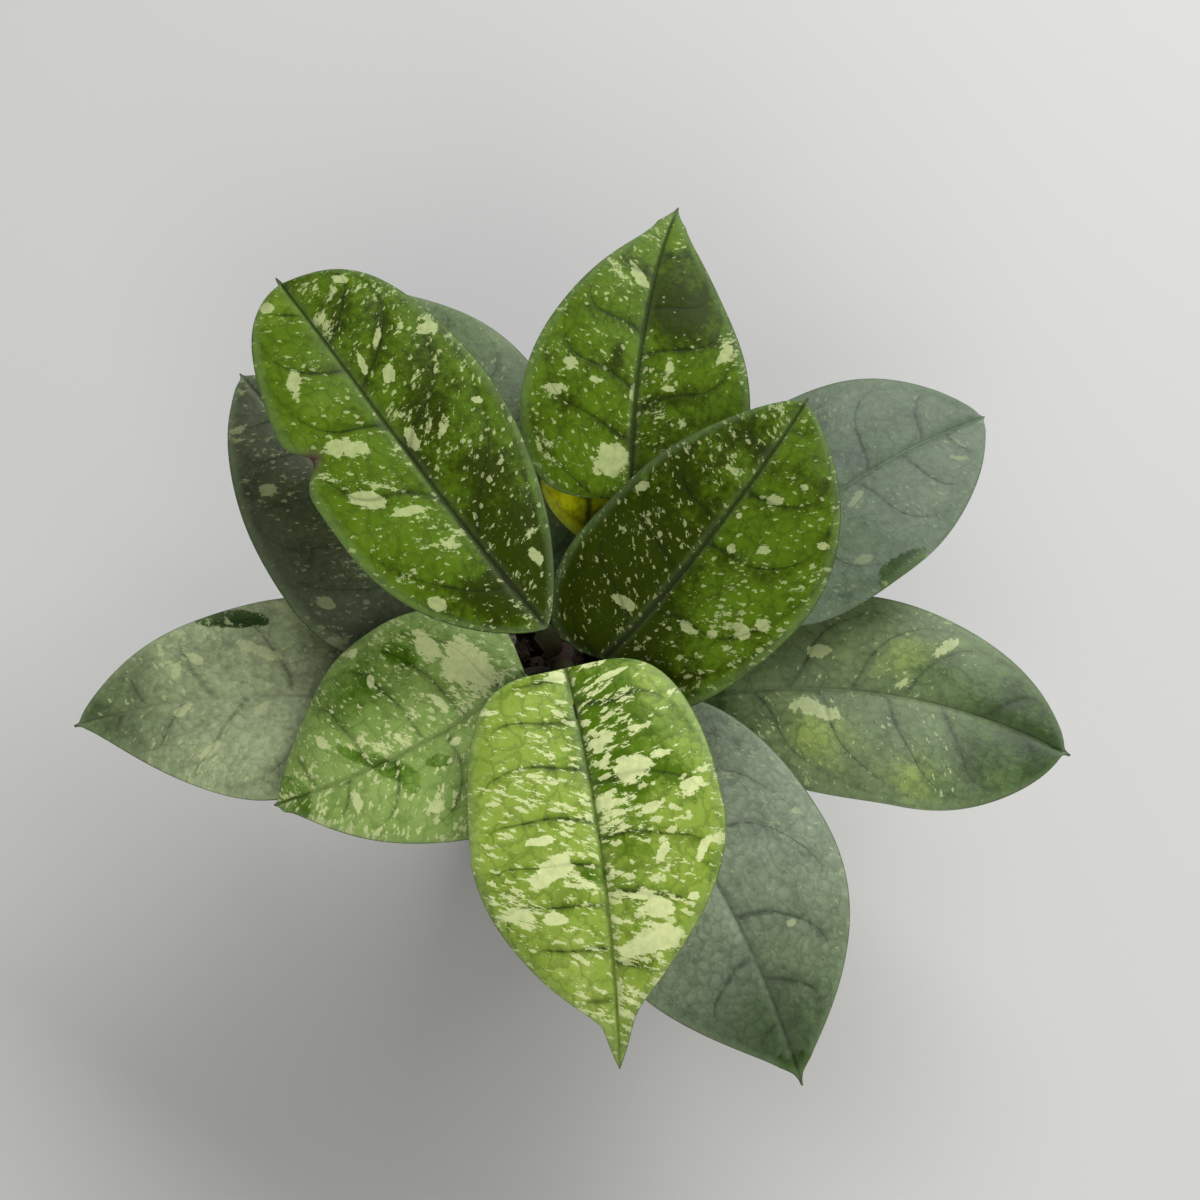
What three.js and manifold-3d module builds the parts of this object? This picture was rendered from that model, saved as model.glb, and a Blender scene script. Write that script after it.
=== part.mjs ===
import * as THREE from "three";
import { mergeVertices } from "three/addons/utils/BufferGeometryUtils.js";
import Module from "manifold-3d";

// A potted hoya with broad splashed leaves. Millimetres, +Z up.
// The origin is the middle of the pot's flat underside.

const wasm = await Module();
wasm.setup();

// pot
const potHeight = 74;
const potBaseRadius = 29;
const potTopRadius = 40;
const potWall = 1.2;
const potFloor = 1.8;
const collarHeight = 11;
const collarStep = 1.3;
const lipRadius = 1.3;
const drainHoleRadius = 3.2;
const drainRingRadius = 19;
const drainHoles = 6;

// potting mix
const fitGap = 0.3;
const mixTop = 64.5;
const mixCrown = 1.5;
const barkChips = 34;

// stems
const stemRadius = 2.6;
const knotRadius = 3.3;
const knotHalfHeight = 4;
const frontStemPath = [
  [-5, -5, 34],
  [-4.8, -4, 62],
  [-4.5, -3, 78],
  [-4, -2, 87],
  [-3.5, -1.5, 98],
  [-3, -1, 109],
  [-3, -1, 113],
];
const backStemPath = [
  [5, 17, 34],
  [5.5, 19.5, 62],
  [7, 24, 89],
  [8, 26, 102],
  [8, 27, 106.5],
];
const frontKnots = [
  [-4.5, -3, 78],
  [-4, -2, 87],
  [-3.5, -1.5, 98],
  [-3, -1, 109],
];
const backKnots = [
  [7, 24, 89],
  [8, 26, 102],
];

// petioles and blades
const petioleRadius = 2.1;
const petioleStart = 1.6;
const petioleSides = 8;
const petioleSteps = 7;
const edgeThickness = 0.8;
const middleThickness = 1.6;
const ribDepth = 1.1;
const grooveDepth = 0.35;
const blunt = 0.45;
const columns = [-1, -0.76, -0.42, -0.1, 0, 0.1, 0.42, 0.76, 1];
const rows = [0, 0.04, 0.1, 0.18, 0.28, 0.39, 0.5, 0.61, 0.71, 0.8, 0.88, 0.94, 0.975, 1];
const nickRows = [0.53, 0.547, 0.562, 0.585];

const leafColour = {
  upper: 0x3f6d1c,
  front: 0x6f9430,
  lower: 0x46604a,
  young: 0x7d8a1e,
};

// What a blade has unless its own entry says otherwise. Angles are in degrees.
const usualLeaf = {
  sweep: 0, // turn of the midrib sideways from base to tip
  bend: 1.5, // how late the midrib droops
  roll: 0, // the left edge lifted
  twist: 0,
  widest: 0.45, // where along the blade it is widest
  shift: 0, // that place moved apart on the two sides
  baseRound: 0.5, // low is a blunt base, 1 is a wedge
  tipRound: 0.8, // low is a blunt tip, 1 is a pointed one
  tipUneven: 0, // the left side of the tip blunter
  point: 0.018, // length of the drawn out point
  pointWidth: 0.08,
  pointPower: 1.3, // low is a fuller point
  skew: 0, // the left half wider
  lobe: 0, // base corners drawn back past the petiole
  lobeUneven: 0, // the left corner drawn back more
  fold: 0.2, // halves raised as a V
  arch: 0.2, // edges turned down
  wave: 0.7,
  waves: 2.2,
  phase: 0,
  ease: 0.45, // how early the petiole turns to the blade's direction
};

// Azimuth runs from +X towards +Y and pitch is up from the level, both where the blade begins.
const leaves = {
  leaf_upper_left: {
    knot: frontKnots[3],
    base: [-6.3, 1.2, 122],
    length: 114,
    width: 52.5,
    azimuth: 134.5,
    pitch: 22,
    tipPitch: -25,
    bend: 2.2,
    widest: 0.45,
    baseRound: 0.78,
    tipRound: 0.45,
    tipUneven: -0.09,
    point: 0.03,
    skew: -0.025,
    wave: 0.9,
    sweep: -14,
    pointWidth: 0.05,
    shift: -0.075,
    phase: 0.1,
    nick: { at: 0.554, depth: 5, width: 4 },
    ease: 0.12,
    colour: leafColour.upper,
  },
  leaf_back: {
    knot: backKnots[1],
    base: [13.4, 37, 118],
    length: 84.5,
    width: 56,
    azimuth: 89.5,
    pitch: 22,
    tipPitch: -24,
    roll: 6,
    widest: 0.26,
    baseRound: 0.25,
    tipRound: 1.3,
    tipUneven: -0.12,
    skew: -0.01,
    lobe: 2,
    sweep: -16.5,
    lobeUneven: -2,
    point: 0.04,
    pointWidth: 0.12,
    phase: 0.35,
    colour: leafColour.upper,
  },
  leaf_upper_right: {
    knot: frontKnots[2],
    base: [6.8, -3, 113],
    length: 80,
    width: 57,
    azimuth: 40.5,
    pitch: 27,
    tipPitch: 2,
    roll: -4,
    shift: -0.095,
    baseRound: 0.4,
    tipRound: 0.8,
    tipUneven: 0.11,
    lobe: 15,
    sweep: 18.5,
    skew: -0.07,
    widest: 0.37,
    lobeUneven: 1,
    phase: 0.6,
    colour: leafColour.upper,
  },
  leaf_front: {
    knot: frontKnots[3],
    base: [-2, -9, 122],
    length: 95,
    width: 57.5,
    azimuth: -77.5,
    sweep: -9.5,
    roll: 5,
    pitch: 8,
    tipPitch: -42,
    baseRound: 0.25,
    tipRound: 1.07,
    lobe: 1.5,
    point: 0.1,
    pointWidth: 0.22,
    pointPower: 0.85,
    lobeUneven: -1.2,
    widest: 0.48,
    shift: -0.02,
    tipUneven: -0.23,
    phase: 0.2,
    ease: 0.12,
    colour: leafColour.front,
  },
  leaf_front_left: {
    knot: frontKnots[2],
    base: [-12, -2.5, 104],
    length: 70.5,
    width: 63,
    azimuth: -133,
    pitch: 10,
    tipPitch: -34,
    tipRound: 0.89,
    sweep: -41,
    skew: -0.01,
    widest: 0.27,
    shift: -0.11,
    baseRound: 0.38,
    tipUneven: -0.25,
    lobe: 8.5,
    lobeUneven: -10.5,
    phase: 0.8,
    colour: leafColour.front,
  },
  leaf_left: {
    knot: frontKnots[0],
    base: [-34.5, -5.5, 88],
    length: 90,
    width: 53.5,
    azimuth: -190,
    sweep: 24,
    pitch: 7,
    tipPitch: -15,
    widest: 0.4,
    tipRound: 0.92,
    skew: 0.025,
    shift: 0.06,
    tipUneven: -0.16,
    point: 0.015,
    pointWidth: 0.05,
    phase: 0.45,
    colour: leafColour.lower,
  },
  leaf_low_left: {
    knot: frontKnots[1],
    base: [-32, 13, 97],
    length: 93,
    width: 52,
    azimuth: 127,
    pitch: 6,
    tipPitch: -15,
    tipRound: 0.77,
    widest: 0.285,
    skew: 0.06,
    baseRound: 0.25,
    phase: 0.05,
    colour: leafColour.lower,
  },
  leaf_back_left: {
    knot: backKnots[0],
    base: [-7, 24.1, 100.6],
    length: 95,
    width: 49.5,
    azimuth: 119,
    pitch: 12,
    tipPitch: -14,
    widest: 0.45,
    baseRound: 0.35,
    tipRound: 0.81,
    phase: 0.7,
    colour: leafColour.lower,
  },
  leaf_back_right: {
    knot: backKnots[0],
    base: [36.5, 23, 98],
    length: 84.5,
    width: 56.5,
    azimuth: 45,
    sweep: -18.5,
    pitch: 8,
    tipPitch: -14,
    widest: 0.44,
    tipRound: 0.68,
    point: 0.01,
    skew: 0.02,
    baseRound: 0.25,
    tipUneven: 0.02,
    phase: 0.3,
    colour: leafColour.lower,
  },
  leaf_right: {
    knot: frontKnots[0],
    base: [22, -1.5, 83],
    length: 103,
    width: 54.5,
    azimuth: 10,
    sweep: -35,
    pitch: 8,
    tipPitch: -15,
    widest: 0.54,
    shift: -0.07,
    tipRound: 0.67,
    tipUneven: -0.05,
    skew: -0.05,
    baseRound: 0.38,
    phase: 0.9,
    colour: leafColour.lower,
  },
  leaf_front_right: {
    knot: frontKnots[1],
    base: [12, -18, 93],
    length: 90.5,
    width: 61,
    azimuth: -53,
    sweep: -18,
    pitch: 0,
    tipPitch: -28,
    widest: 0.465,
    tipRound: 1.07,
    tipUneven: 0.05,
    skew: 0.015,
    shift: -0.04,
    baseRound: 0.25,
    lobe: 7.5,
    lobeUneven: 3.7,
    point: 0.028,
    pointWidth: 0.08,
    phase: 0.55,
    colour: leafColour.lower,
  },
  leaf_young: {
    knot: backKnots[1],
    base: [3, 31, 105.5],
    length: 34,
    width: 24,
    azimuth: 88,
    pitch: 20,
    tipPitch: 5,
    baseRound: 1,
    tipRound: 1,
    fold: 0.5,
    arch: 0,
    wave: 0.2,
    petiole: 1.3,
    colour: leafColour.young,
  },
};

const degrees = Math.PI / 180;
const clamp = (value) => Math.min(1, Math.max(0, value));

// A small generator with a fixed start, so that each build is the same.
function makeRandom(start) {
  let state = start;
  return () => {
    state = (state * 1664525 + 1013904223) % 4294967296;
    return state / 4294967296;
  };
}

function solidFrom(geometry) {
  const bare = geometry.index ? geometry.toNonIndexed() : geometry.clone();
  bare.deleteAttribute("normal");
  bare.deleteAttribute("uv");
  const merged = mergeVertices(bare, 1e-4);
  return new wasm.Manifold(
    new wasm.Mesh({
      numProp: 3,
      vertProperties: merged.attributes.position.array,
      triVerts: new Uint32Array(merged.index.array),
    }),
  );
}

function meshFrom(name, solid, material) {
  const made = solid.getMesh();
  const geometry = new THREE.BufferGeometry();
  geometry.setAttribute("position", new THREE.BufferAttribute(made.vertProperties, 3));
  geometry.setIndex(new THREE.BufferAttribute(made.triVerts, 1));
  geometry.computeVertexNormals();
  const mesh = new THREE.Mesh(geometry, material);
  mesh.name = name;
  return mesh;
}

// Cuts can leave a loose crumb: the piece itself is the largest body.
function largestBody(solid) {
  const bodies = solid.decompose();
  return bodies.reduce((best, body) => (body.volume() > best.volume() ? body : best));
}

// A closed skin over a grid of rings: each ring is a loop of points, and both ends are capped.
function skinOver(rings) {
  const points = [];
  const faces = [];
  const around = rings[0].length;
  rings.forEach((ring) => ring.forEach((point) => points.push(point.x, point.y, point.z)));
  for (let i = 0; i < rings.length - 1; i++) {
    for (let j = 0; j < around; j++) {
      const next = (j + 1) % around;
      const a = i * around + j;
      const b = i * around + next;
      const c = a + around;
      const d = b + around;
      faces.push(a, b, d, a, d, c);
    }
  }
  [0, rings.length - 1].forEach((i) => {
    const middle = points.length / 3;
    const centre = new THREE.Vector3();
    rings[i].forEach((point) => centre.add(point));
    centre.divideScalar(around);
    points.push(centre.x, centre.y, centre.z);
    for (let j = 0; j < around; j++) {
      const a = i * around + j;
      const b = i * around + ((j + 1) % around);
      faces.push(...(i === 0 ? [middle, b, a] : [middle, a, b]));
    }
  });
  const geometry = new THREE.BufferGeometry();
  geometry.setAttribute("position", new THREE.Float32BufferAttribute(points, 3));
  geometry.setIndex(faces);
  return geometry;
}

// A round tube whose radius changes along its curve.
function taperedTube(curve, radii, sides, steps) {
  const frames = curve.computeFrenetFrames(steps, false);
  const rings = [];
  for (let i = 0; i <= steps; i++) {
    const centre = curve.getPointAt(i / steps);
    const place = (i / steps) * (radii.length - 1);
    const low = Math.min(radii.length - 2, Math.floor(place));
    const radius = THREE.MathUtils.lerp(radii[low], radii[low + 1], place - low);
    const ring = [];
    for (let j = 0; j < sides; j++) {
      const angle = (j / sides) * Math.PI * 2;
      ring.push(
        centre
          .clone()
          .addScaledVector(frames.normals[i], Math.cos(angle) * radius)
          .addScaledVector(frames.binormals[i], Math.sin(angle) * radius),
      );
    }
    rings.push(ring);
  }
  return skinOver(rings);
}

// Share of the half width at a place along the blade, on its left (side 1) or right (side -1).
function outlineShare(leaf, along, side) {
  const widest = leaf.widest + side * leaf.shift;
  const place = clamp(along / (1 - leaf.point));
  const rise = clamp(place / widest);
  const fall = clamp((place - widest) / (1 - widest));
  const rising = (1 - (1 - rise) ** 2) ** leaf.baseRound;
  const falling = (1 - fall ** 2) ** (leaf.tipRound - side * leaf.tipUneven);
  const blade = place < widest ? rising : falling;
  const tail = clamp((1 - along) / (leaf.point * 2.2)) ** leaf.pointPower;
  const point = place < widest ? 0 : leaf.pointWidth * tail;
  return (blade ** 2.5 + point ** 2.5) ** (1 / 2.5);
}

// The midrib as places with the directions along, to the left and up out of the blade.
function midrib(leaf, stations) {
  const fine = 200;
  const places = [];
  const at = new THREE.Vector3(...leaf.base);
  let last = null;
  for (let i = 0; i <= fine; i++) {
    const along = i / fine;
    const azimuth = (leaf.azimuth + leaf.sweep * along) * degrees;
    const pitch = (leaf.pitch + (leaf.tipPitch - leaf.pitch) * along ** leaf.bend) * degrees;
    const roll = (leaf.roll + leaf.twist * along) * degrees;
    const forward = new THREE.Vector3(
      Math.cos(pitch) * Math.cos(azimuth),
      Math.cos(pitch) * Math.sin(azimuth),
      Math.sin(pitch),
    );
    const level = new THREE.Vector3(-Math.sin(azimuth), Math.cos(azimuth), 0);
    const above = forward.clone().cross(level);
    const left = level.clone().multiplyScalar(Math.cos(roll)).addScaledVector(above, Math.sin(roll));
    const up = above.clone().multiplyScalar(Math.cos(roll)).addScaledVector(level, -Math.sin(roll));
    if (last) {
      at.addScaledVector(last.clone().add(forward), leaf.length / fine / 2);
    }
    last = forward;
    places.push({ along, at: at.clone(), forward, left, up });
  }
  return stations.map((along) => places[Math.round(along * fine)]);
}

function bladePoint(leaf, place, across) {
  const side = Math.sign(across);
  let half = (leaf.width / 2) * outlineShare(leaf, place.along, side) * (1 + leaf.skew * side);
  if (leaf.nick && side > 0) {
    half -= leaf.nick.depth * Math.exp(-((((place.along - leaf.nick.at) * leaf.length) / leaf.nick.width) ** 2));
  }
  half = Math.max(half, blunt);
  const share = Math.abs(across);
  const turn = leaf.waves * place.along + leaf.phase + (side > 0 ? 0.3 : 0);
  const wave = leaf.wave * share ** 2 * Math.sin(2 * Math.PI * turn) * Math.sin(Math.PI * place.along);
  const lift = half * (leaf.fold * share - leaf.arch * share ** 2) + wave;
  const lobe = leaf.lobe + leaf.lobeUneven * side;
  const back = lobe * share ** 2 * (half / leaf.width) * 2 * Math.exp(-place.along / 0.15);
  const narrow = clamp(half / 8);
  const ribbed = share < 0.05 ? narrow : 0;
  const top = place.at
    .clone()
    .addScaledVector(place.left, across * half)
    .addScaledVector(place.forward, -back)
    .addScaledVector(place.up, lift - grooveDepth * ribbed);
  const thickness = edgeThickness + (middleThickness - edgeThickness) * (1 - share ** 2) * narrow;
  const under = top.clone().addScaledVector(place.up, -thickness - (ribDepth - grooveDepth) * ribbed);
  return { top, under };
}

// Top face, edge, underside, edge: one loop across the blade at each row.
function bladeSolid(leaf) {
  const stations = leaf.nick ? [...rows, ...nickRows].sort((a, b) => a - b) : rows;
  const points = [];
  const faces = [];
  const wide = columns.length;
  midrib(leaf, stations).forEach((place) => {
    const made = columns.map((across) => bladePoint(leaf, place, across));
    made.forEach(({ top }) => points.push(top.x, top.y, top.z));
    made.forEach(({ under }) => points.push(under.x, under.y, under.z));
  });
  const topAt = (i, j) => i * wide * 2 + j;
  const underAt = (i, j) => i * wide * 2 + wide + j;
  const quad = (a, b, c, d) => faces.push(a, b, c, a, c, d);
  for (let i = 0; i < stations.length - 1; i++) {
    for (let j = 0; j < wide - 1; j++) {
      const outward = j < (wide - 1) / 2;
      const corners = [
        [i, j],
        [i + 1, j],
        [i + 1, j + 1],
        [i, j + 1],
      ];
      const turned = outward ? corners : [...corners.slice(1), corners[0]];
      const top = turned.map(([row, column]) => topAt(row, column));
      const under = turned.map(([row, column]) => underAt(row, column));
      faces.push(top[0], top[1], top[2], top[0], top[2], top[3]);
      faces.push(under[0], under[2], under[1], under[0], under[3], under[2]);
    }
    quad(topAt(i, 0), underAt(i, 0), underAt(i + 1, 0), topAt(i + 1, 0));
    quad(topAt(i, wide - 1), topAt(i + 1, wide - 1), underAt(i + 1, wide - 1), underAt(i, wide - 1));
  }
  const last = stations.length - 1;
  for (let j = 0; j < wide - 1; j++) {
    quad(topAt(0, j), topAt(0, j + 1), underAt(0, j + 1), underAt(0, j));
    quad(topAt(last, j), underAt(last, j), underAt(last, j + 1), topAt(last, j + 1));
  }
  const geometry = new THREE.BufferGeometry();
  geometry.setAttribute("position", new THREE.Float32BufferAttribute(points, 3));
  geometry.setIndex(faces);
  return solidFrom(geometry);
}

// The petiole leaves its knot, meets the blade below its base and thins away under the midrib.
function petioleSolid(leaf) {
  const thick = leaf.petiole ?? petioleRadius;
  const [start, further] = midrib(leaf, [0, 0.13]);
  const meet = start.at.clone().addScaledVector(start.up, -thick - 0.1);
  const knot = new THREE.Vector3(...leaf.knot);
  const outward = meet.clone().sub(knot).setZ(0).setLength(petioleStart);
  knot.add(outward);
  const reach = knot.distanceTo(meet);
  const approach = meet.clone().addScaledVector(start.forward, -reach * leaf.ease);
  const path = new THREE.CurvePath();
  path.add(new THREE.QuadraticBezierCurve3(knot, approach, meet));
  const end = further.at.clone().addScaledVector(further.up, -1.4);
  path.add(new THREE.LineCurve3(meet, end));
  const smooth = new THREE.CatmullRomCurve3(path.getSpacedPoints(petioleSteps), false, "centripetal");
  const radii = [thick * 1.15, thick, thick * 0.95, thick, thick * 0.9, 0.8];
  return solidFrom(taperedTube(smooth, radii, petioleSides, petioleSteps + 2));
}

function roundSection(radius, sides) {
  const shape = new THREE.Shape();
  for (let i = 0; i < sides; i++) {
    const angle = (i / sides) * Math.PI * 2;
    const method = i === 0 ? "moveTo" : "lineTo";
    shape[method](Math.cos(angle) * radius, Math.sin(angle) * radius);
  }
  shape.closePath();
  return shape;
}

// A stem with a swollen knot wherever leaves leave it; grown makes the room that its neighbours keep.
function stemSolid(pathPoints, knots, grown) {
  const curve = new THREE.CatmullRomCurve3(pathPoints.map((point) => new THREE.Vector3(...point)));
  const tube = new THREE.ExtrudeGeometry(roundSection(stemRadius + grown, 10), {
    steps: 12,
    bevelEnabled: false,
    extrudePath: curve,
  });
  return knots.reduce((solid, knot) => {
    const swell = new THREE.SphereGeometry(1, 10, 6);
    swell.rotateX(Math.PI / 2);
    swell.scale(knotRadius + grown, knotRadius + grown, knotHalfHeight + grown);
    swell.translate(...knot);
    return solid.add(solidFrom(swell));
  }, solidFrom(tube));
}

function potSolid() {
  const slope = (potTopRadius - potBaseRadius) / potHeight;
  const outerAt = (height) => potBaseRadius + slope * height;
  const collarBottom = potHeight - collarHeight;
  const profile = [
    [0, 0],
    [potBaseRadius - 1, 0],
    [outerAt(1.2), 1.2],
    [outerAt(collarBottom), collarBottom],
    [outerAt(collarBottom) + collarStep, collarBottom + 1.2],
    [outerAt(potHeight - 2.6) + collarStep, potHeight - 2.6],
    [outerAt(potHeight - 2) + collarStep + lipRadius * 0.7, potHeight - 2.2],
    [outerAt(potHeight) + collarStep + lipRadius, potHeight - 1.2],
    [outerAt(potHeight) + collarStep + lipRadius * 0.7, potHeight - 0.3],
    [outerAt(potHeight) + collarStep, potHeight],
    [outerAt(potHeight) + collarStep - potWall, potHeight],
    [outerAt(potHeight) + collarStep - potWall - 0.1, potHeight - 0.8],
    [outerAt(collarBottom + 2.4) - potWall + 0.2, collarBottom + 2.4],
    [outerAt(collarBottom) - potWall, collarBottom],
    [outerAt(potFloor) - potWall, potFloor],
    [0, potFloor],
  ];
  const points = profile.map(([radius, height]) => new THREE.Vector2(radius, height));
  const body = new THREE.LatheGeometry(points, 44);
  body.rotateX(Math.PI / 2);
  let solid = solidFrom(body);
  for (let i = 0; i < drainHoles; i++) {
    const angle = ((i + 0.5) / drainHoles) * Math.PI * 2;
    const hole = new THREE.CylinderGeometry(drainHoleRadius, drainHoleRadius, potFloor * 3, 12);
    hole.rotateX(Math.PI / 2);
    hole.translate(Math.cos(angle) * drainRingRadius, Math.sin(angle) * drainRingRadius, potFloor / 2);
    solid = solid.subtract(solidFrom(hole));
  }
  return solid;
}

// The mix fills the pot below the collar, with bark chips half sunk in its top.
function mixSolid(stemRooms) {
  const random = makeRandom(11);
  const slope = (potTopRadius - potBaseRadius) / potHeight;
  const innerAt = (height) => potBaseRadius + slope * height - potWall - fitGap;
  const bottom = potFloor + fitGap;
  const edge = 62.6;
  const points = [
    [0, bottom],
    [innerAt(bottom), bottom],
    [innerAt(edge), edge],
    [innerAt(edge) * 0.8, mixTop],
    [innerAt(edge) * 0.4, mixTop + mixCrown * 0.7],
    [0, mixTop + mixCrown],
  ].map(([radius, height]) => new THREE.Vector2(radius, height));
  const body = new THREE.LatheGeometry(points, 36);
  body.rotateX(Math.PI / 2);
  const chips = [];
  for (let i = 0; i < barkChips; i++) {
    const radius = 32 * Math.sqrt((i + 0.5) / barkChips);
    const angle = i * 2.39996 + random() * 0.5;
    const size = 3.2 + random() * 3;
    const chip = new THREE.BoxGeometry(size * 1.7, size, size * 0.62);
    chip.rotateX((random() - 0.5) * 0.9);
    chip.rotateY((random() - 0.5) * 0.9);
    chip.rotateZ(random() * Math.PI);
    const rise = mixTop + mixCrown * (1 - radius / 34) - 0.6 - (radius > 28 ? 0.9 : 0);
    chip.translate(Math.cos(angle) * radius, Math.sin(angle) * radius, rise);
    chips.push(solidFrom(chip));
  }
  const within = new THREE.CylinderGeometry(innerAt(edge) - 0.3, innerAt(edge) - 0.3, 20, 36);
  within.rotateX(Math.PI / 2);
  within.translate(0, 0, edge + 9);
  const bark = chips.reduce((all, chip) => all.add(chip)).intersect(solidFrom(within));
  return stemRooms.reduce((left, room) => left.subtract(room), solidFrom(body).add(bark));
}

const plant = new THREE.Group();

const plastic = new THREE.MeshStandardMaterial({ color: 0x24211f, roughness: 0.62, metalness: 0 });
const bark = new THREE.MeshStandardMaterial({ color: 0x4a3323, roughness: 0.95, metalness: 0 });
const stemGreen = new THREE.MeshStandardMaterial({ color: 0x5a4a34, roughness: 0.6, metalness: 0 });

const frontStem = stemSolid(frontStemPath, frontKnots, 0);
const backStem = stemSolid(backStemPath, backKnots, 0);
const frontRoom = stemSolid(frontStemPath, frontKnots, fitGap);
const backRoom = stemSolid(backStemPath, backKnots, fitGap);

plant.add(meshFrom("pot", potSolid(), plastic));
plant.add(meshFrom("potting_mix", largestBody(mixSolid([frontRoom, backRoom])), bark));
plant.add(meshFrom("stem_front", frontStem, stemGreen));
plant.add(meshFrom("stem_back", backStem, stemGreen));

Object.entries(leaves).forEach(([name, own]) => {
  const leaf = { ...usualLeaf, ...own };
  const green = new THREE.MeshStandardMaterial({ color: leaf.colour, roughness: 0.38, metalness: 0 });
  const whole = bladeSolid(leaf).add(petioleSolid(leaf));
  const clear = whole.subtract(frontRoom).subtract(backRoom);
  plant.add(meshFrom(name, largestBody(clear), green));
});

export default plant;
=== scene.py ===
import math
import random

import bpy
import numpy as np
from mathutils import Euler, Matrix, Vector, noise


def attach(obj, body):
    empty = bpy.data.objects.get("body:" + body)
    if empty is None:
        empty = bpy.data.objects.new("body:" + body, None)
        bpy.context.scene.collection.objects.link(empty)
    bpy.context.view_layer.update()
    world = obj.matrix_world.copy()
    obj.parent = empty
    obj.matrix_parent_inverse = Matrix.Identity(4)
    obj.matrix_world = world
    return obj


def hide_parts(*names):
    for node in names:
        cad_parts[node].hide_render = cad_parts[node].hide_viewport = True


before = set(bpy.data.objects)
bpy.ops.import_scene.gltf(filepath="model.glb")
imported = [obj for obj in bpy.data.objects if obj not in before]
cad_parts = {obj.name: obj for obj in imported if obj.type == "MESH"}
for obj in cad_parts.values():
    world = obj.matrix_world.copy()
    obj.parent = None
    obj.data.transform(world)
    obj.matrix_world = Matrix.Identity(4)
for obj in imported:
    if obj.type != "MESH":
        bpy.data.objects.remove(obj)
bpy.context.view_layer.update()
metre = 0.001  # pieces are sized in millimetres; the camera, the lights and the floor in metres
fullTurn = 2 * math.pi


# node helpers: each takes numbers or sockets and gives back a socket

def feed(tree, socket, value):
    if isinstance(value, bpy.types.NodeSocket):
        tree.links.new(value, socket)
    elif value is not None:
        socket.default_value = value


def calc(tree, operation, first, second=None, third=None, clampIt=False):
    node = tree.nodes.new("ShaderNodeMath")
    node.operation = operation
    node.use_clamp = clampIt
    feed(tree, node.inputs[0], first)
    feed(tree, node.inputs[1], second)
    feed(tree, node.inputs[2], third)
    return node.outputs[0]


def times(tree, first, second, clampIt=False):
    return calc(tree, "MULTIPLY", first, second, clampIt=clampIt)


def plus(tree, first, second, clampIt=False):
    return calc(tree, "ADD", first, second, clampIt=clampIt)


def minus(tree, first, second, clampIt=False):
    return calc(tree, "SUBTRACT", first, second, clampIt=clampIt)


def larger(tree, first, second):
    return calc(tree, "MAXIMUM", first, second)


def scaled(tree, value, factor, added, clampIt=False):
    return calc(tree, "MULTIPLY_ADD", value, factor, added, clampIt)


def fade(tree, value, low, high, toLow=0.0, toHigh=1.0):
    node = tree.nodes.new("ShaderNodeMapRange")
    node.interpolation_type = "SMOOTHSTEP"
    for place, number in zip(range(5), (value, low, high, toLow, toHigh)):
        feed(tree, node.inputs[place], number)
    return node.outputs[0]


def blendColours(tree, share, first, second):
    node = tree.nodes.new("ShaderNodeMix")
    node.data_type = "RGBA"
    feed(tree, node.inputs[0], share)
    feed(tree, node.inputs[6], first)
    feed(tree, node.inputs[7], second)
    return node.outputs[2]


def joinParts(tree, x, y, z):
    node = tree.nodes.new("ShaderNodeCombineXYZ")
    for socket, value in zip(node.inputs, (x, y, z)):
        feed(tree, socket, value)
    return node.outputs[0]


def splitParts(tree, vector):
    node = tree.nodes.new("ShaderNodeSeparateXYZ")
    feed(tree, node.inputs[0], vector)
    return node.outputs[0], node.outputs[1], node.outputs[2]


def surfacePlace(tree):
    return tree.nodes.new("ShaderNodeNewGeometry").outputs["Position"]


def readAttribute(tree, name):
    node = tree.nodes.new("ShaderNodeAttribute")
    node.attribute_name = name
    return node.outputs["Vector"]


def cloudNoise(tree, vector, scale, detail, roughness, distortion=0.0):
    node = tree.nodes.new("ShaderNodeTexNoise")
    feed(tree, node.inputs["Vector"], vector)
    feed(tree, node.inputs["Scale"], scale)
    feed(tree, node.inputs["Detail"], detail)
    feed(tree, node.inputs["Roughness"], roughness)
    feed(tree, node.inputs["Distortion"], distortion)
    return node.outputs[0]


# noise drawn out into streaks: a larger scale makes them closer in that direction
def streakNoise(tree, acrossScale, upScale, detail, roughness):
    x, y, z = splitParts(tree, surfacePlace(tree))
    place = joinParts(tree, times(tree, x, acrossScale), times(tree, y, acrossScale), times(tree, z, upScale))
    return cloudNoise(tree, place, 1.0, detail, roughness)


def cellEdges(tree, vector, scale):
    node = tree.nodes.new("ShaderNodeTexVoronoi")
    node.feature = "DISTANCE_TO_EDGE"
    feed(tree, node.inputs["Vector"], vector)
    feed(tree, node.inputs["Scale"], scale)
    return node.outputs["Distance"]


def newGroup(name, inputs, outputs):
    group = bpy.data.node_groups.new(name, "ShaderNodeTree")
    for direction, sockets in (("INPUT", inputs), ("OUTPUT", outputs)):
        for label, kind in sockets.items():
            group.interface.new_socket(label, in_out=direction, socket_type="NodeSocket" + kind)
    start = group.nodes.new("NodeGroupInput")
    end = group.nodes.new("NodeGroupOutput")
    return group, start.outputs, end.inputs


def useGroup(tree, group, settings):
    node = tree.nodes.new("ShaderNodeGroup")
    node.node_tree = group
    for label, value in settings.items():
        feed(tree, node.inputs[label], value)
    return node.outputs


def newMaterial(name):
    material = bpy.data.materials.new(name)
    material.use_nodes = True
    tree = material.node_tree
    return material, tree, tree.nodes["Principled BSDF"]


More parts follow.
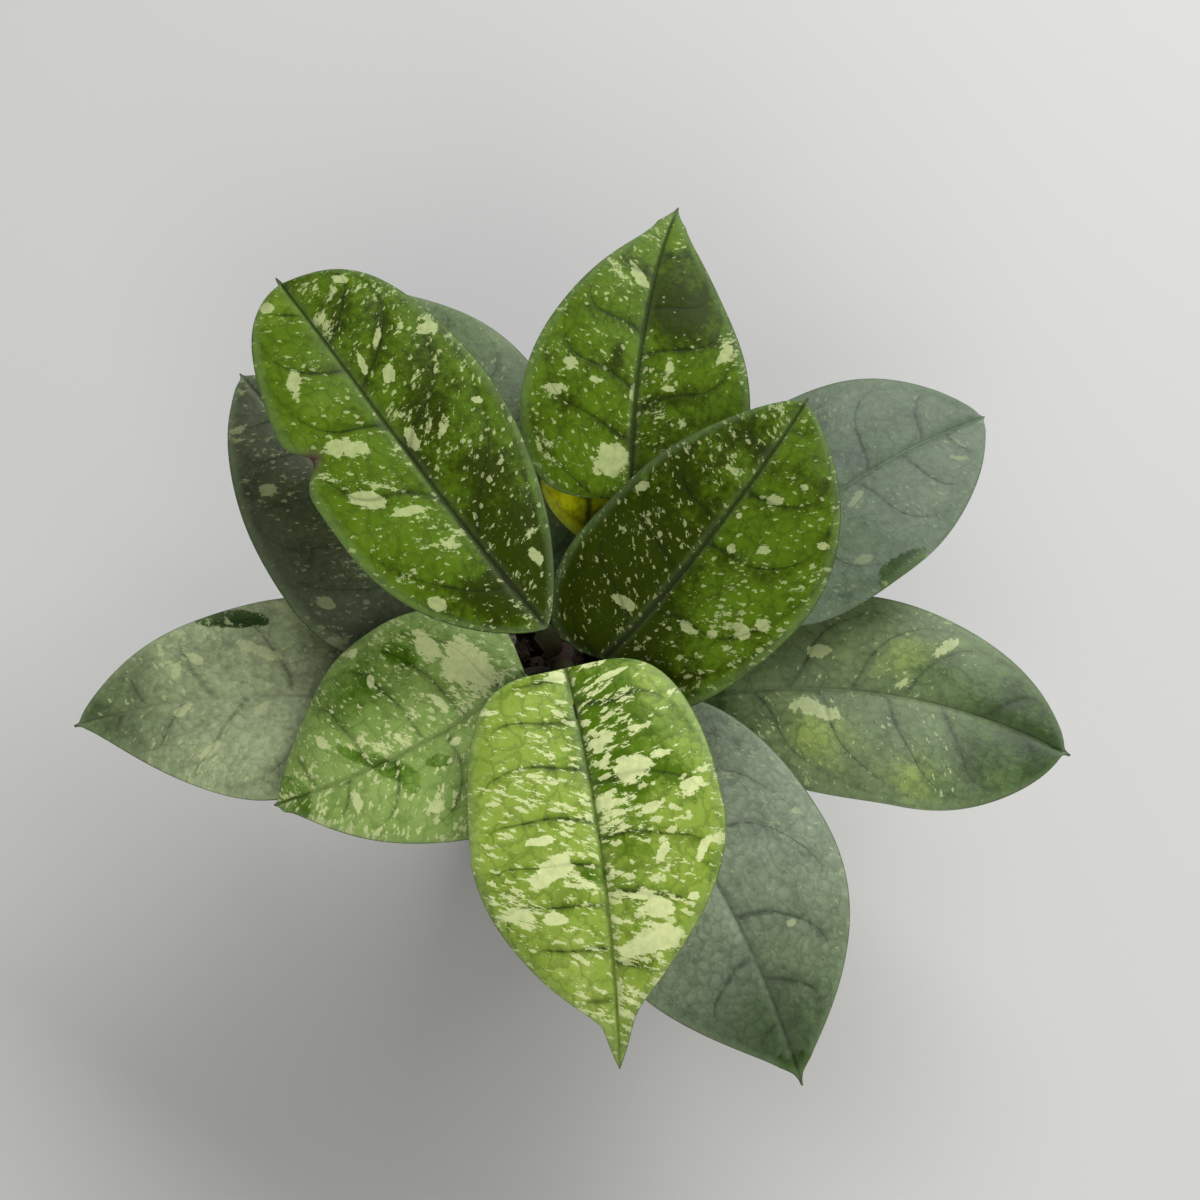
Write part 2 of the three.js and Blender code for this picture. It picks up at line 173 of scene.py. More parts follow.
def finishShader(tree, shader, colour, roughness, height, depth, strength):
    bump = tree.nodes.new("ShaderNodeBump")
    bump.inputs["Strength"].default_value = strength
    bump.inputs["Distance"].default_value = depth
    feed(tree, bump.inputs["Height"], height)
    feed(tree, shader.inputs["Normal"], bump.outputs["Normal"])
    feed(tree, shader.inputs["Base Color"], colour)
    feed(tree, shader.inputs["Roughness"], roughness)


# mesh helpers

def meshPiece(name, points, faces, materials, replaced, smooth=True, faceMaterial=None):
    mesh = bpy.data.meshes.new(name)
    mesh.from_pydata((np.asarray(points) * metre).tolist(), [], faces)
    for material in materials:
        mesh.materials.append(material)
    if faceMaterial is not None:
        mesh.polygons.foreach_set("material_index", faceMaterial)
    mesh.polygons.foreach_set("use_smooth", [smooth] * len(mesh.polygons))
    mesh.validate()
    mesh.update()
    piece = bpy.data.objects.new(name, mesh)
    bpy.context.scene.collection.objects.link(piece)
    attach(piece, "root")
    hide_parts(replaced)
    return piece


def gridFaces(rowCount, columnCount, start=0, closed=False, flip=False):
    faces = []
    wide = columnCount if closed else columnCount - 1
    for i in range(rowCount - 1):
        for j in range(wide):
            a = start + i * columnCount + j
            b = start + i * columnCount + (j + 1) % columnCount
            c, d = b + columnCount, a + columnCount
            faces.append((a, d, c, b) if flip else (a, b, c, d))
    return faces


# a closed shell from two grids that lie one above the other
def shellFaces(rows, wide):
    under = rows * wide
    faces = gridFaces(rows, wide, 0, flip=True) + gridFaces(rows, wide, under)
    for i in range(rows - 1):
        a, b = i * wide, (i + 1) * wide
        faces.append((a, under + a, under + b, b))
        c, d = a + wide - 1, b + wide - 1
        faces.append((c, d, under + d, under + c))
    for j in range(wide - 1):
        faces.append((j, j + 1, under + j + 1, under + j))
        a = (rows - 1) * wide + j
        faces.append((a, under + a, under + a + 1, a + 1))
    return faces


def ringPoints(radius, height, sides, x=0, y=0):
    angle = np.arange(sides) / sides * fullTurn
    return np.stack([x + np.cos(angle) * radius, y + np.sin(angle) * radius, 0 * angle + height], -1)


def tubePoints(path, radii, sides):
    path = np.asarray(path, float)
    along = np.gradient(path, axis=0)
    along /= np.linalg.norm(along, axis=1)[:, None]
    rings = []
    normal = np.cross(along[0], (0.3, 0.2, 1.0))  # any direction that isn't the path's own
    angle = np.arange(sides) / sides * fullTurn
    for centre, direction, radius in zip(path, along, radii):
        normal = normal - direction * (normal @ direction)
        normal /= np.linalg.norm(normal)
        other = np.cross(direction, normal)
        rings.append(centre + radius * (np.outer(np.cos(angle), normal) + np.outer(np.sin(angle), other)))
    return np.concatenate(rings)


def tubeFaces(ringCount, sides, start=0):
    faces = gridFaces(ringCount, sides, start, closed=True)
    last = start + (ringCount - 1) * sides
    faces.append(tuple(start + j for j in reversed(range(sides))))
    faces.append(tuple(last + j for j in range(sides)))
    return faces


# leaves

frontKnots = [(-4.5, -3, 78), (-4, -2, 87), (-3.5, -1.5, 98), (-3, -1, 109)]
backKnots = [(7, 24, 89), (8, 26, 102)]

bladeSettings = {
    "rows": 150, "evenRows": 0.55, "endRows": 0.45,  # two shares of 1: spread evenly, packed at both ends
    "columns": 68, "midribColumns": (0.008, 0.02), "rimColumns": (0.965, 0.985), "midribSteps": 800,
    "tailReach": 2.2, "outlineBlend": 2.5, "blunt": 0.45, "tipBlunt": 0.35, "tipEnd": 0.02,
    "edgeThickness": 0.8, "middleThickness": 1.6, "narrowBelow": 8, "lobeReach": 0.15,
    "ribDepth": 1.1, "ribWidth": 1.5, "grooveDepth": 0.35, "grooveWidth": 0.8,
    "shoulderHeight": 0.06, "shoulderPlace": 2.6, "shoulderWidth": 1.6,
    "veinGroove": 0.06, "veinWidth": 0.7, "underVeinDepth": 0.25, "underVeinWidth": 0.8,
    "quilting": 0.13, "drift": 0.22, "driftWaves": (8.5, 6.2, 4.1, 5.3),
    "rimDrop": 0.28, "rimEase": 0.07, "plainEdge": (2, 5), "plainMiddle": 4,  # relief fades out there
    "leftWaveLead": 0.3, "sideBlend": 0.6,
    "settle": 0.3,  # keeps the finer relief inside the solid's box
    "spotMiddle": 1.7, "stainReach": 2.6, "seed": 1.7, "seedStep": 2.39,
}

veinWander = {"slow": 0.15, "slowWave": 17, "quick": 0.09, "quickWave": 7.3,
              "ripple": 0.045, "rippleWave": 3.1, "rippleDrift": 11, "sideOffset": 0.27, "first": 40}

petioleSettings = {
    "sides": 18, "steps": 26, "underSteps": 12, "underShare": 0.17, "knotSink": 1.6, "bladeGap": 0.3,
    "sinks": (1.04, 1.04, 1.04, 1.04, 1.0, 0.95, 0.88, 0.8, 0.68, 0.55, 0.42, 0.3),
    "places": (0, 0.08, 0.25, 0.6, 0.8, 0.9, 1), "radii": (1.3, 1.2, 1.0, 0.97, 1.02, 0.76, 0.3),
    # brown: the stalk's own purple-brown, which near the knot also stands in as painted shade
    "smoothings": 3, "green": (0.024, 0.032, 0.009, 1), "brown": (0.015, 0.005, 0.007, 1),
    "speck": (0.05, 0.036, 0.026, 1), "shine": 0.08, "specksPerMetre": 900, "cloudsPerMetre": 160,
    "brownAndShade": 16, "baseBrown": 0.75, "bladeBrown": 0.25, "bumpDepth": 0.0003, "bumpStrength": 0.5,
}

usualLeaf = {
    "sweep": 0, "bend": 1.5, "roll": 0, "twist": 0,
    "widest": 0.45, "shift": 0, "baseRound": 0.5, "tipRound": 0.8, "tipUneven": 0,
    "point": 0.018, "pointWidth": 0.08, "pointPower": 1.3, "skew": 0, "lobe": 0, "lobeUneven": 0,
    "fold": 0.2, "arch": 0.2, "wave": 0.7, "waves": 2.2, "phase": 0, "ease": 0.45,
    "petiole": 2.1, "nick": None,
    "look": "deep", "veinSpacing": 16, "veinSlope": 0.35, "slopeUneven": 0.05, "veinUneven": 0,
    "loopAt": 0.93, "loopPower": 7,
    "grain": (0.4, 0.4, 0.4, 0.4), "toneAndShading": 0, "leftHalfShading": 0, "rib": 0.8,
    "bloomAndSheen": (0.24, 0.28, 0.20, 1),
    "splash": 0.5, "dots": 0.5, "stretch": 0.6, "cream": 0.8, "bloomAndSheenAmount": 0, "net": (0.2, 0.12, 0.28),
    "patches": (), "bare": (), "tonesAndShading": (), "bloomAndSheenSpots": (), "clear": (),
}

# Sizes and places are those of the solids. A spot starts with its share along, its share across (left
# is positive), its length and its width in millimetres. Patches, which are cream, and clear spots, which
# have no painted sheen and are painted darker, end with a turn in degrees. Spots of colour and of painted
# light and shade, dark below zero, and spots of bloom and painted sheen, thinner below zero, end with a
# strength. Bare spots keep the cream away.
leaves = {
    "leaf_upper_left": {
        "knot": frontKnots[3], "base": (-6.3, 1.2, 122), "length": 114, "width": 52.5,
        "azimuth": 134.5, "sweep": -14, "pitch": 22, "tipPitch": -25, "bend": 2.2,
        "widest": 0.45, "shift": -0.075, "baseRound": 0.78, "tipRound": 0.45, "tipUneven": -0.09,
        "point": 0.03, "pointWidth": 0.05, "skew": -0.025, "wave": 0.9, "phase": 0.1,
        "nick": (0.554, 5, 4), "ease": 0.12,
        "veinSpacing": 21, "veinSlope": 0.72, "slopeUneven": -0.14, "leftHalfShading": 0.12,
        "splash": 0.36, "dots": 0.5, "cream": 0.54,
        "patches": (
            (0.54, 0.59, 6, 2.6, 65), (0.71, 0.59, 3.8, 2.1, -35), (0.89, -0.68, 2.4, 1.3, 30),
            (0.92, 0.66, 2.4, 2, 0), (0.67, -0.15, 3.4, 1.1, -15), (0.71, -0.43, 4, 0.8, -40),
            (0.7, -0.64, 3, 1.1, -55), (0.67, -0.84, 2.6, 1.8, 85), (0.62, -0.29, 2.6, 1.4, -20),
            (0.47, -0.77, 2.4, 1, 45), (0.48, -0.1, 3, 1.5, -10), (0.46, -0.38, 3.2, 1.2, -55),
            (0.42, 0.56, 4.4, 2, 45), (0.36, 0.34, 4, 1.1, 70), (0.13, -0.65, 2.6, 1.8, 0),
            (0.18, 0.82, 2.4, 1.6, 25),
        ),
        "tonesAndShading": (
            (0.45, -0.35, 30, 11, -0.36), (0.62, -0.5, 10, 6, -0.1), (0.8, -0.35, 14, 7, -0.1),
            (0.1, 0, 14, 14, -0.8), (0.2, -0.4, 18, 9, -0.3), (0.62, 0.45, 12, 9, 0.25),
            (0.3, 0.55, 14, 9, 0.15), (0.55, 0.95, 6, 4, 0.5), (0.9, 0.4, 9, 9, 0.55),
            (0.75, -0.8, 12, 4, 0.2),
        ),
        "toneAndShading": -0.05,
    },
    "leaf_back": {
        "knot": backKnots[1], "base": (13.4, 37, 118), "length": 84.5, "width": 56,
        "azimuth": 89.5, "sweep": -16.5, "pitch": 22, "tipPitch": -24, "roll": 6,
        "widest": 0.26, "baseRound": 0.25, "tipRound": 1.3, "tipUneven": -0.12,
        "point": 0.04, "pointWidth": 0.12, "skew": -0.01, "lobe": 2, "lobeUneven": -2, "phase": 0.35,
        "veinSpacing": 15.5, "leftHalfShading": 0.1, "splash": 0.3, "dots": 0.5, "stretch": 0.7, "cream": 0.52,
        "patches": (
            (0.11, 0.24, 5, 4.6, 40), (0.29, 0.71, 3.4, 1.8, -80), (0.37, 0.63, 1.9, 1.7, 0),
            (0.67, 0.21, 4.6, 1.5, 45), (0.33, 0.38, 2, 1, 85), (0.31, 0.03, 3.4, 0.9, -5),
            (0.4, -0.28, 1.7, 1.2, 0), (0.33, -0.3, 2.2, 1, 90), (0.23, -0.42, 2.2, 1.2, 85),
            (0.46, -0.79, 3.4, 1.1, -30),
        ),
        "bare": (
            (0.6, -0.4, 13, 10), (0.3, -0.6, 10, 8),
        ),
        "tonesAndShading": (
            (0.59, -0.43, 9, 8, -1), (0.42, 0.22, 3, 2, -0.8), (0.93, 0.1, 12, 9, 0.5),
            (0.2, -0.3, 14, 10, -0.4), (0.72, 0.45, 8, 6, -0.35),
        ),
        "toneAndShading": -0.05,
    },
    "leaf_upper_right": {
        "knot": frontKnots[2], "base": (6.8, -3, 113), "length": 80, "width": 57,
        "azimuth": 40.5, "sweep": 18.5, "pitch": 27, "tipPitch": 2, "roll": -4,
        "widest": 0.37, "shift": -0.095, "baseRound": 0.4, "tipRound": 0.8, "tipUneven": 0.11,
        "skew": -0.07, "lobe": 15, "lobeUneven": 1, "phase": 0.6,
        "veinSpacing": 16, "veinSlope": 0.3, "leftHalfShading": -0.15, "splash": 0.3, "dots": 0.6, "cream": 0.48,
        "patches": (
            (0.48, 0.84, 2.6, 1.4, -30), (0.67, -0.29, 2.6, 1.1, -65), (0.58, -0.09, 1.3, 1.2, 0),
            (0.49, -0.21, 1.4, 1.2, 0), (0.54, -0.43, 2.2, 1, -50), (0.38, -0.8, 2, 1.6, -65),
            (0.33, -0.72, 2.4, 1.4, 75), (0.24, -0.38, 3, 1.3, 90), (0.27, -0.57, 1.5, 1.1, -65),
            (0.64, -0.86, 2.2, 1.2, -75), (0.75, -0.53, 1.6, 1.1, 60), (0.17, 0.21, 3.6, 1.2, -75),
        ),
        "tonesAndShading": (
            (0.12, 0.3, 16, 14, -1.1), (0.35, 0.45, 20, 12, -0.3), (0.4, -0.5, 22, 10, 0.25),
            (0.9, -0.1, 9, 9, 0.3), (0.05, -0.4, 10, 12, -0.5),
        ),
        "toneAndShading": -0.36,
    },
    "leaf_front": {
        "knot": frontKnots[3], "base": (-2, -9, 122), "length": 95, "width": 57.5,
        "azimuth": -77.5, "sweep": -9.5, "roll": 5, "pitch": 8, "tipPitch": -42,
        "widest": 0.48, "shift": -0.02, "baseRound": 0.25, "tipRound": 1.07, "tipUneven": -0.23,
        "point": 0.1, "pointWidth": 0.22, "pointPower": 0.85, "lobe": 1.5, "lobeUneven": -1.2,
        "phase": 0.2, "ease": 0.12,
        "look": "bright", "veinSpacing": 13, "veinSlope": -0.02, "slopeUneven": 0.1, "veinUneven": 0.15,
        "loopAt": 0.97, "loopPower": 10,
        "grain": (-0.4, 0.6, -0.45, -0.4), "rib": 0.42,
        "splash": 0.85, "dots": 0.9, "stretch": 0.34, "cream": 1,
        "patches": (
            (0.3, 0.36, 4.4, 3.3, -80), (0.27, 0.15, 2.2, 0.7, -45), (0.28, 0.63, 3.4, 1.2, 85),
            (0.36, 0.78, 2.4, 1.1, -80), (0.4, 0.46, 2.4, 1.2, -70), (0.37, 0.1, 1.6, 0.8, 60),
            (0.22, 0.11, 1.5, 1, 80), (0.16, 0.07, 1.3, 1, 80), (0.05, 0.48, 4, 0.8, -75),
            (0.02, -0.14, 2.4, 1.6, 90), (0.44, -0.45, 4.4, 1.3, -85), (0.51, -0.38, 6.2, 2.3, -55),
            (0.63, -0.46, 2.6, 1.4, 80), (0.5, 0.5, 2.4, 1.1, -40), (0.51, 0.82, 3.2, 1.2, -35),
            (0.61, 0.85, 2, 1.1, 90), (0.63, 0.54, 3.2, 1.7, 85), (0.7, 0.6, 7.5, 2.8, -80),
        ),
        "tonesAndShading": (
            (0.18, 0.2, 22, 9, -1.1), (0.3, 0.55, 16, 9, -0.3), (0.54, -0.1, 2.5, 4.5, -0.9),
            (0.25, -0.5, 26, 12, 0.3), (0.6, 0.2, 16, 8, -0.2), (0.8, 0.15, 14, 5, -0.35),
            (0.85, -0.3, 14, 10, 0.4), (0.7, -0.3, 18, 10, 0.3), (0.62, 0.6, 12, 6, 0.3),
        ),
    },
    "leaf_front_left": {
        "knot": frontKnots[2], "base": (-12, -2.5, 104), "length": 70.5, "width": 63,
        "azimuth": -133, "sweep": -41, "pitch": 10, "tipPitch": -34,
        "widest": 0.27, "shift": -0.11, "baseRound": 0.38, "tipRound": 0.89, "tipUneven": -0.25,
        "skew": -0.01, "lobe": 8.5, "lobeUneven": -10.5, "phase": 0.8,
        "look": "mid", "veinSpacing": 14, "veinSlope": 0.25, "splash": 0.62, "dots": 0.8,
        "stretch": 0.6, "cream": 1, "bloomAndSheenAmount": 0.42,
        "bloomAndSheen": (0.43, 0.56, 0.19, 1),
        "patches": (
            (0.23, -0.67, 5, 3.4, -80), (0.14, -0.37, 8, 7, -80), (0.31, -0.19, 3.2, 1.1, -80),
            (0.5, -0.61, 2, 1.2, 65), (0.76, -0.44, 2.6, 1.4, -50), (0.51, -0.93, 2, 1.2, 0),
            (0.34, 0.14, 1.4, 1.2, 0), (0.49, 0.65, 1.8, 1.3, -50), (0.7, 0.44, 2.4, 1.3, 85),
        ),
        "tonesAndShading": (
            (0.58, -0.58, 10, 8, -0.8), (0.55, 0.6, 18, 9, 0.35), (0.08, -0.1, 10, 12, -0.5),
            (0.5, -0.3, 16, 9, 0.1),
        ),
        "bloomAndSheenSpots": (
            (0.55, -0.6, 10, 8, -0.42), (0.3, -0.72, 8, 6, -0.3),
        ),
        "rib": 0.5,
        "clear": (
            (0.66, -0.14, 5, 1.3, -45), (0.56, 0.13, 7, 2.3, -50), (0.52, 0.31, 4, 1.9, 80),
            (0.42, 0.24, 3.2, 1.8, -30), (0.93, 0.3, 8, 5, -65), (0.34, -0.69, 5.5, 3.4, -55),
        ),
    },
    "leaf_left": {
        "knot": frontKnots[0], "base": (-34.5, -5.5, 88), "length": 90, "width": 53.5,
        "azimuth": -190, "sweep": 24, "pitch": 7, "tipPitch": -15,
        "widest": 0.4, "shift": 0.06, "tipRound": 0.92, "tipUneven": -0.16,
        "point": 0.015, "pointWidth": 0.05, "skew": 0.025, "phase": 0.45,
        "look": "grey", "veinSlope": 0.45, "splash": 0.36, "dots": 0.45, "cream": 0.6, "bloomAndSheenAmount": 0.85,
        "patches": (
            (0.65, -0.49, 2.6, 1.3, -40), (0.7, -0.39, 2.8, 1.1, 75), (0.48, -0.44, 6.5, 1.6, -25),
            (0.47, 0.15, 2.6, 1.1, 40), (0.69, 0.13, 3.2, 1.3, 35), (0.61, 0.58, 3.4, 1.3, 35),
        ),
        "tonesAndShading": (
            (0.1, 0, 14, 26, -0.3), (0.22, -0.62, 16, 12, -0.75), (0.97, 0, 22, 22, -0.4),
            (0.4, 0.95, 24, 8, -0.5),
        ),
        "clear": (
            (0.55, -0.85, 9, 2.6, -8),
        ),
        "bloomAndSheenSpots": (
            (1, 0, 30, 28, -0.72), (0.24, -0.65, 16, 11, -0.6), (0.4, 0.95, 24, 8, -0.3),
        ),
        "bloomAndSheen": (0.60, 0.68, 0.40, 1),
        "net": (0.28, 0.16, 0.32),
        "rib": 0.5,
    },
    "leaf_low_left": {
        "knot": frontKnots[1], "base": (-32, 13, 97), "length": 93, "width": 52,
        "azimuth": 127, "pitch": 6, "tipPitch": -15, "widest": 0.285, "baseRound": 0.25,
        "tipRound": 0.77, "skew": 0.06, "phase": 0.05,
        # its green is painted darker as shade from the leaf above
        "look": "dark", "splash": 0.34, "dots": 0.4, "cream": 0.22, "bloomAndSheenAmount": 0.25,
        "patches": (
            (0.6, 0.61, 2.8, 1.8, 50), (0.23, 0.74, 2.4, 1.6, 35),
        ),
        "bloomAndSheenSpots": (
            (0.5, 0.4, 24, 11, -0.2),
        ),
    },
    "leaf_back_left": {
        "knot": backKnots[0], "base": (-7, 24.1, 100.6), "length": 95, "width": 49.5,
        "azimuth": 119, "pitch": 12, "tipPitch": -14, "widest": 0.45, "baseRound": 0.35,
        "tipRound": 0.81, "phase": 0.7,
        "look": "grey", "splash": 0.25, "dots": 0.4, "cream": 0.4, "bloomAndSheenAmount": 0.6, "bloomAndSheen": (0.21, 0.27, 0.15, 1),
    },
    "leaf_back_right": {
        "knot": backKnots[0], "base": (36.5, 23, 98), "length": 84.5, "width": 56.5,
        "azimuth": 45, "sweep": -18.5, "pitch": 8, "tipPitch": -14, "widest": 0.44, "baseRound": 0.25,
        "tipRound": 0.68, "tipUneven": 0.02, "point": 0.01, "skew": 0.02, "phase": 0.3,
        "look": "grey", "veinSpacing": 17, "veinSlope": 0.4, "splash": 0.06, "dots": 0.2,
        "cream": 0.28, "bloomAndSheenAmount": 0.72,
        "patches": (
            (0.36, -0.67, 3.4, 1.2, -20), (0.83, -0.49, 3.4, 1.1, -25),
            (0.48, -0.16, 3.4, 1.1, 20),
        ),
        "tonesAndShading": (
            (0.42, -0.88, 12, 4, -0.3), (0.54, 0.2, 5, 4, -0.7),
        ),
        "clear": (
            (0.45, -0.94, 9, 3, 0),
        ),
        "bloomAndSheen": (0.155, 0.19, 0.155, 1),
        "net": (0.28, 0.16, 0.32),
        "rib": 0.35,
    },
    "leaf_right": {
        "knot": frontKnots[0], "base": (22, -1.5, 83), "length": 103, "width": 54.5,
        "azimuth": 10, "sweep": -35, "pitch": 8, "tipPitch": -15,
        "widest": 0.54, "shift": -0.07, "baseRound": 0.38, "tipRound": 0.67, "tipUneven": -0.05,
        "skew": -0.05, "phase": 0.9,
        "look": "grey", "veinSpacing": 17, "veinSlope": 0.55, "splash": 0.05, "dots": 0.18,
        "cream": 0.58, "bloomAndSheenAmount": 0.56, "net": (0.25, 0.15, 0.35),
        "patches": (
            (0.36, -0.23, 7.5, 2.5, -15), (0.65, 0.65, 4.6, 1.7, 55), (0.37, 0.38, 3.3, 2.2, 10),
            (0.84, -0.72, 5, 0.9, 10),
        ),
        "bare": (
            (0.88, 0.2, 20, 16), (0.85, -0.5, 12, 12),
        ),
        "bloomAndSheenSpots": (
            (0.37, -0.46, 9, 8, -0.25), (0.57, 0.42, 9, 8, -0.2), (0.64, -0.74, 7, 6, -0.25),
            (0.92, 0, 26, 24, -0.5), (0.1, 0, 16, 26, -0.3),
        ),
        "tonesAndShading": (
            (0.37, -0.46, 9, 7, 1.2), (0.57, 0.42, 9, 7, 1), (0.64, -0.74, 7, 6, 0.9),
            (0.84, -0.82, 5, 5, 0.3), (0.92, 0, 22, 24, -0.75),
        ),
        "clear": (
            (0.04, 0, 12, 30, 0),
        ),
        "rib": 0.45,
        "bloomAndSheen": (0.23, 0.28, 0.16, 1),
    },
    "leaf_front_right": {
        "knot": frontKnots[1], "base": (12, -18, 93), "length": 90.5, "width": 61,
        "azimuth": -53, "sweep": -18, "pitch": 0, "tipPitch": -28,
        "widest": 0.465, "shift": -0.04, "baseRound": 0.25, "tipRound": 1.07, "tipUneven": 0.05,
        "point": 0.028, "pointWidth": 0.08, "skew": 0.015, "lobe": 7.5, "lobeUneven": 3.7, "phase": 0.55,
        "look": "grey", "veinSpacing": 17, "veinSlope": 0.35, "loopAt": 0.88, "loopPower": 6,
        "splash": 0.05, "dots": 0.2,
        "cream": 0.42, "bloomAndSheenAmount": 0.66, "net": (0.36, 0.22, 0.4),
        "patches": (
            (0.37, 0.83, 1.6, 1, 55), (0.61, 0.41, 2.4, 1.3, 75),
        ),
        "tonesAndShading": (
            (0.8, -0.6, 20, 16, -0.9), (0.9, 0.3, 14, 14, -0.4),
        ),
        "bare": (
            (0.8, -0.3, 24, 20),
        ),
        "bloomAndSheenSpots": (
            (0.3, 0.3, 24, 16, 0.2), (0.9, -0.25, 28, 28, -0.5),
        ),
        "clear": (
            (1, 0, 8, 9, 0),
        ),
        "bloomAndSheen": (0.31, 0.355, 0.27, 1),
        "rib": 0.6,
    },
    "leaf_young": {
        "knot": backKnots[1], "base": (3, 31, 105.5), "length": 34, "width": 24,
        "azimuth": 88, "pitch": 20, "tipPitch": 5, "baseRound": 1, "tipRound": 1,
        "fold": 0.5, "arch": 0, "wave": 0.2, "petiole": 1.3,
        "look": "young", "veinSpacing": 6, "splash": 0.0, "dots": 0.2, "cream": 0.3,
    },
}


def outlineShare(leaf, along, side):
    widest = leaf["widest"] + side * leaf["shift"]
    place = np.clip(along / (1 - leaf["point"]), 0, 1)
    rise = np.clip(place / widest, 0, 1)
    fall = np.clip((place - widest) / (1 - widest), 0, 1)
    rising = (1 - (1 - rise) ** 2) ** leaf["baseRound"]
    falling = (1 - fall ** 2) ** (leaf["tipRound"] - side * leaf["tipUneven"])
    blade = np.where(place < widest, rising, falling)
    tailShare = np.clip((1 - along) / (leaf["point"] * bladeSettings["tailReach"]), 0, 1)
    tail = leaf["pointWidth"] * tailShare ** leaf["pointPower"]
    tail = np.where(place < widest, 0, tail)
    power = bladeSettings["outlineBlend"]
    return (blade ** power + tail ** power) ** (1 / power)


def midribFrames(leaf, along):
    stepCount = bladeSettings["midribSteps"]
    fine = np.linspace(0, 1, stepCount + 1)
    azimuth = np.radians(leaf["azimuth"] + leaf["sweep"] * fine)
    pitch = np.radians(leaf["pitch"] + (leaf["tipPitch"] - leaf["pitch"]) * fine ** leaf["bend"])
    roll = np.radians(leaf["roll"] + leaf["twist"] * fine)[:, None]
    level = np.stack([-np.sin(azimuth), np.cos(azimuth), 0 * azimuth], -1)
    forward = np.stack([np.cos(pitch) * np.cos(azimuth), np.cos(pitch) * np.sin(azimuth), np.sin(pitch)], -1)
    above = np.cross(forward, level)
    left = level * np.cos(roll) + above * np.sin(roll)
    up = above * np.cos(roll) - level * np.sin(roll)
    steps = (forward[1:] + forward[:-1]) / 2 * leaf["length"] / stepCount
    centre = np.concatenate([[[0, 0, 0]], np.cumsum(steps, 0)]) + np.array(leaf["base"], float)
    pick = lambda table: np.stack([np.interp(along, fine, table[:, k]) for k in range(3)], -1)
    return pick(centre), pick(forward), pick(left), pick(up)


# how many side veins lie between the base and a place, as a smooth number; near the margin each vein
# turns along it and runs into the next
def veinCount(leaf, lengthwise, distance, share, side, seed):
    wander = veinWander
    spacing = leaf["veinSpacing"] * (1 + leaf["veinUneven"] * side)
    turning = spacing * (share / leaf["loopAt"]) ** leaf["loopPower"]
    start = lengthwise - distance * (leaf["veinSlope"] + leaf["slopeUneven"] * side) - turning
    slow = wander["slow"] * np.sin(start / wander["slowWave"] + seed)
    quick = wander["quick"] * np.sin(start / wander["quickWave"] + seed * 2.1 + side)
    ripple = wander["ripple"] * np.sin(
        distance / wander["rippleWave"] + seed * 3 + start / wander["rippleDrift"])
    return start / spacing + (slow + quick) + ripple + wander["sideOffset"] * side + wander["first"]


# how far each place of a blade lies from a spot's middle, 1 on the spot's edge
def spotReach(blade, spot, turn=0):
    length, lengthwise, lateral, half = blade
    along, across, long, broad = spot[:4]
    row = np.abs(lengthwise[:, lengthwise.shape[1] // 2] / length - along).argmin()
    column = half[row, 0] if across < 0 else half[row, -1]
    x, y = lengthwise - along * length, lateral - across * column
    cos, sin = math.cos(math.radians(turn)), math.sin(math.radians(turn))
    return np.hypot((x * cos + y * sin) / long, (y * cos - x * sin) / broad)


def firmSpots(blade, spots):
    cover = np.zeros_like(blade[2])
    middle = bladeSettings["spotMiddle"]
    for spot in spots:
        cover = np.maximum(cover, np.clip(middle - spotReach(blade, spot, spot[4]), 0, middle))
    return cover


def addSoftSpots(values, blade, spots):
    for spot in spots:
        values = values + spot[4] * np.exp(-spotReach(blade, spot) ** 2)
    return values


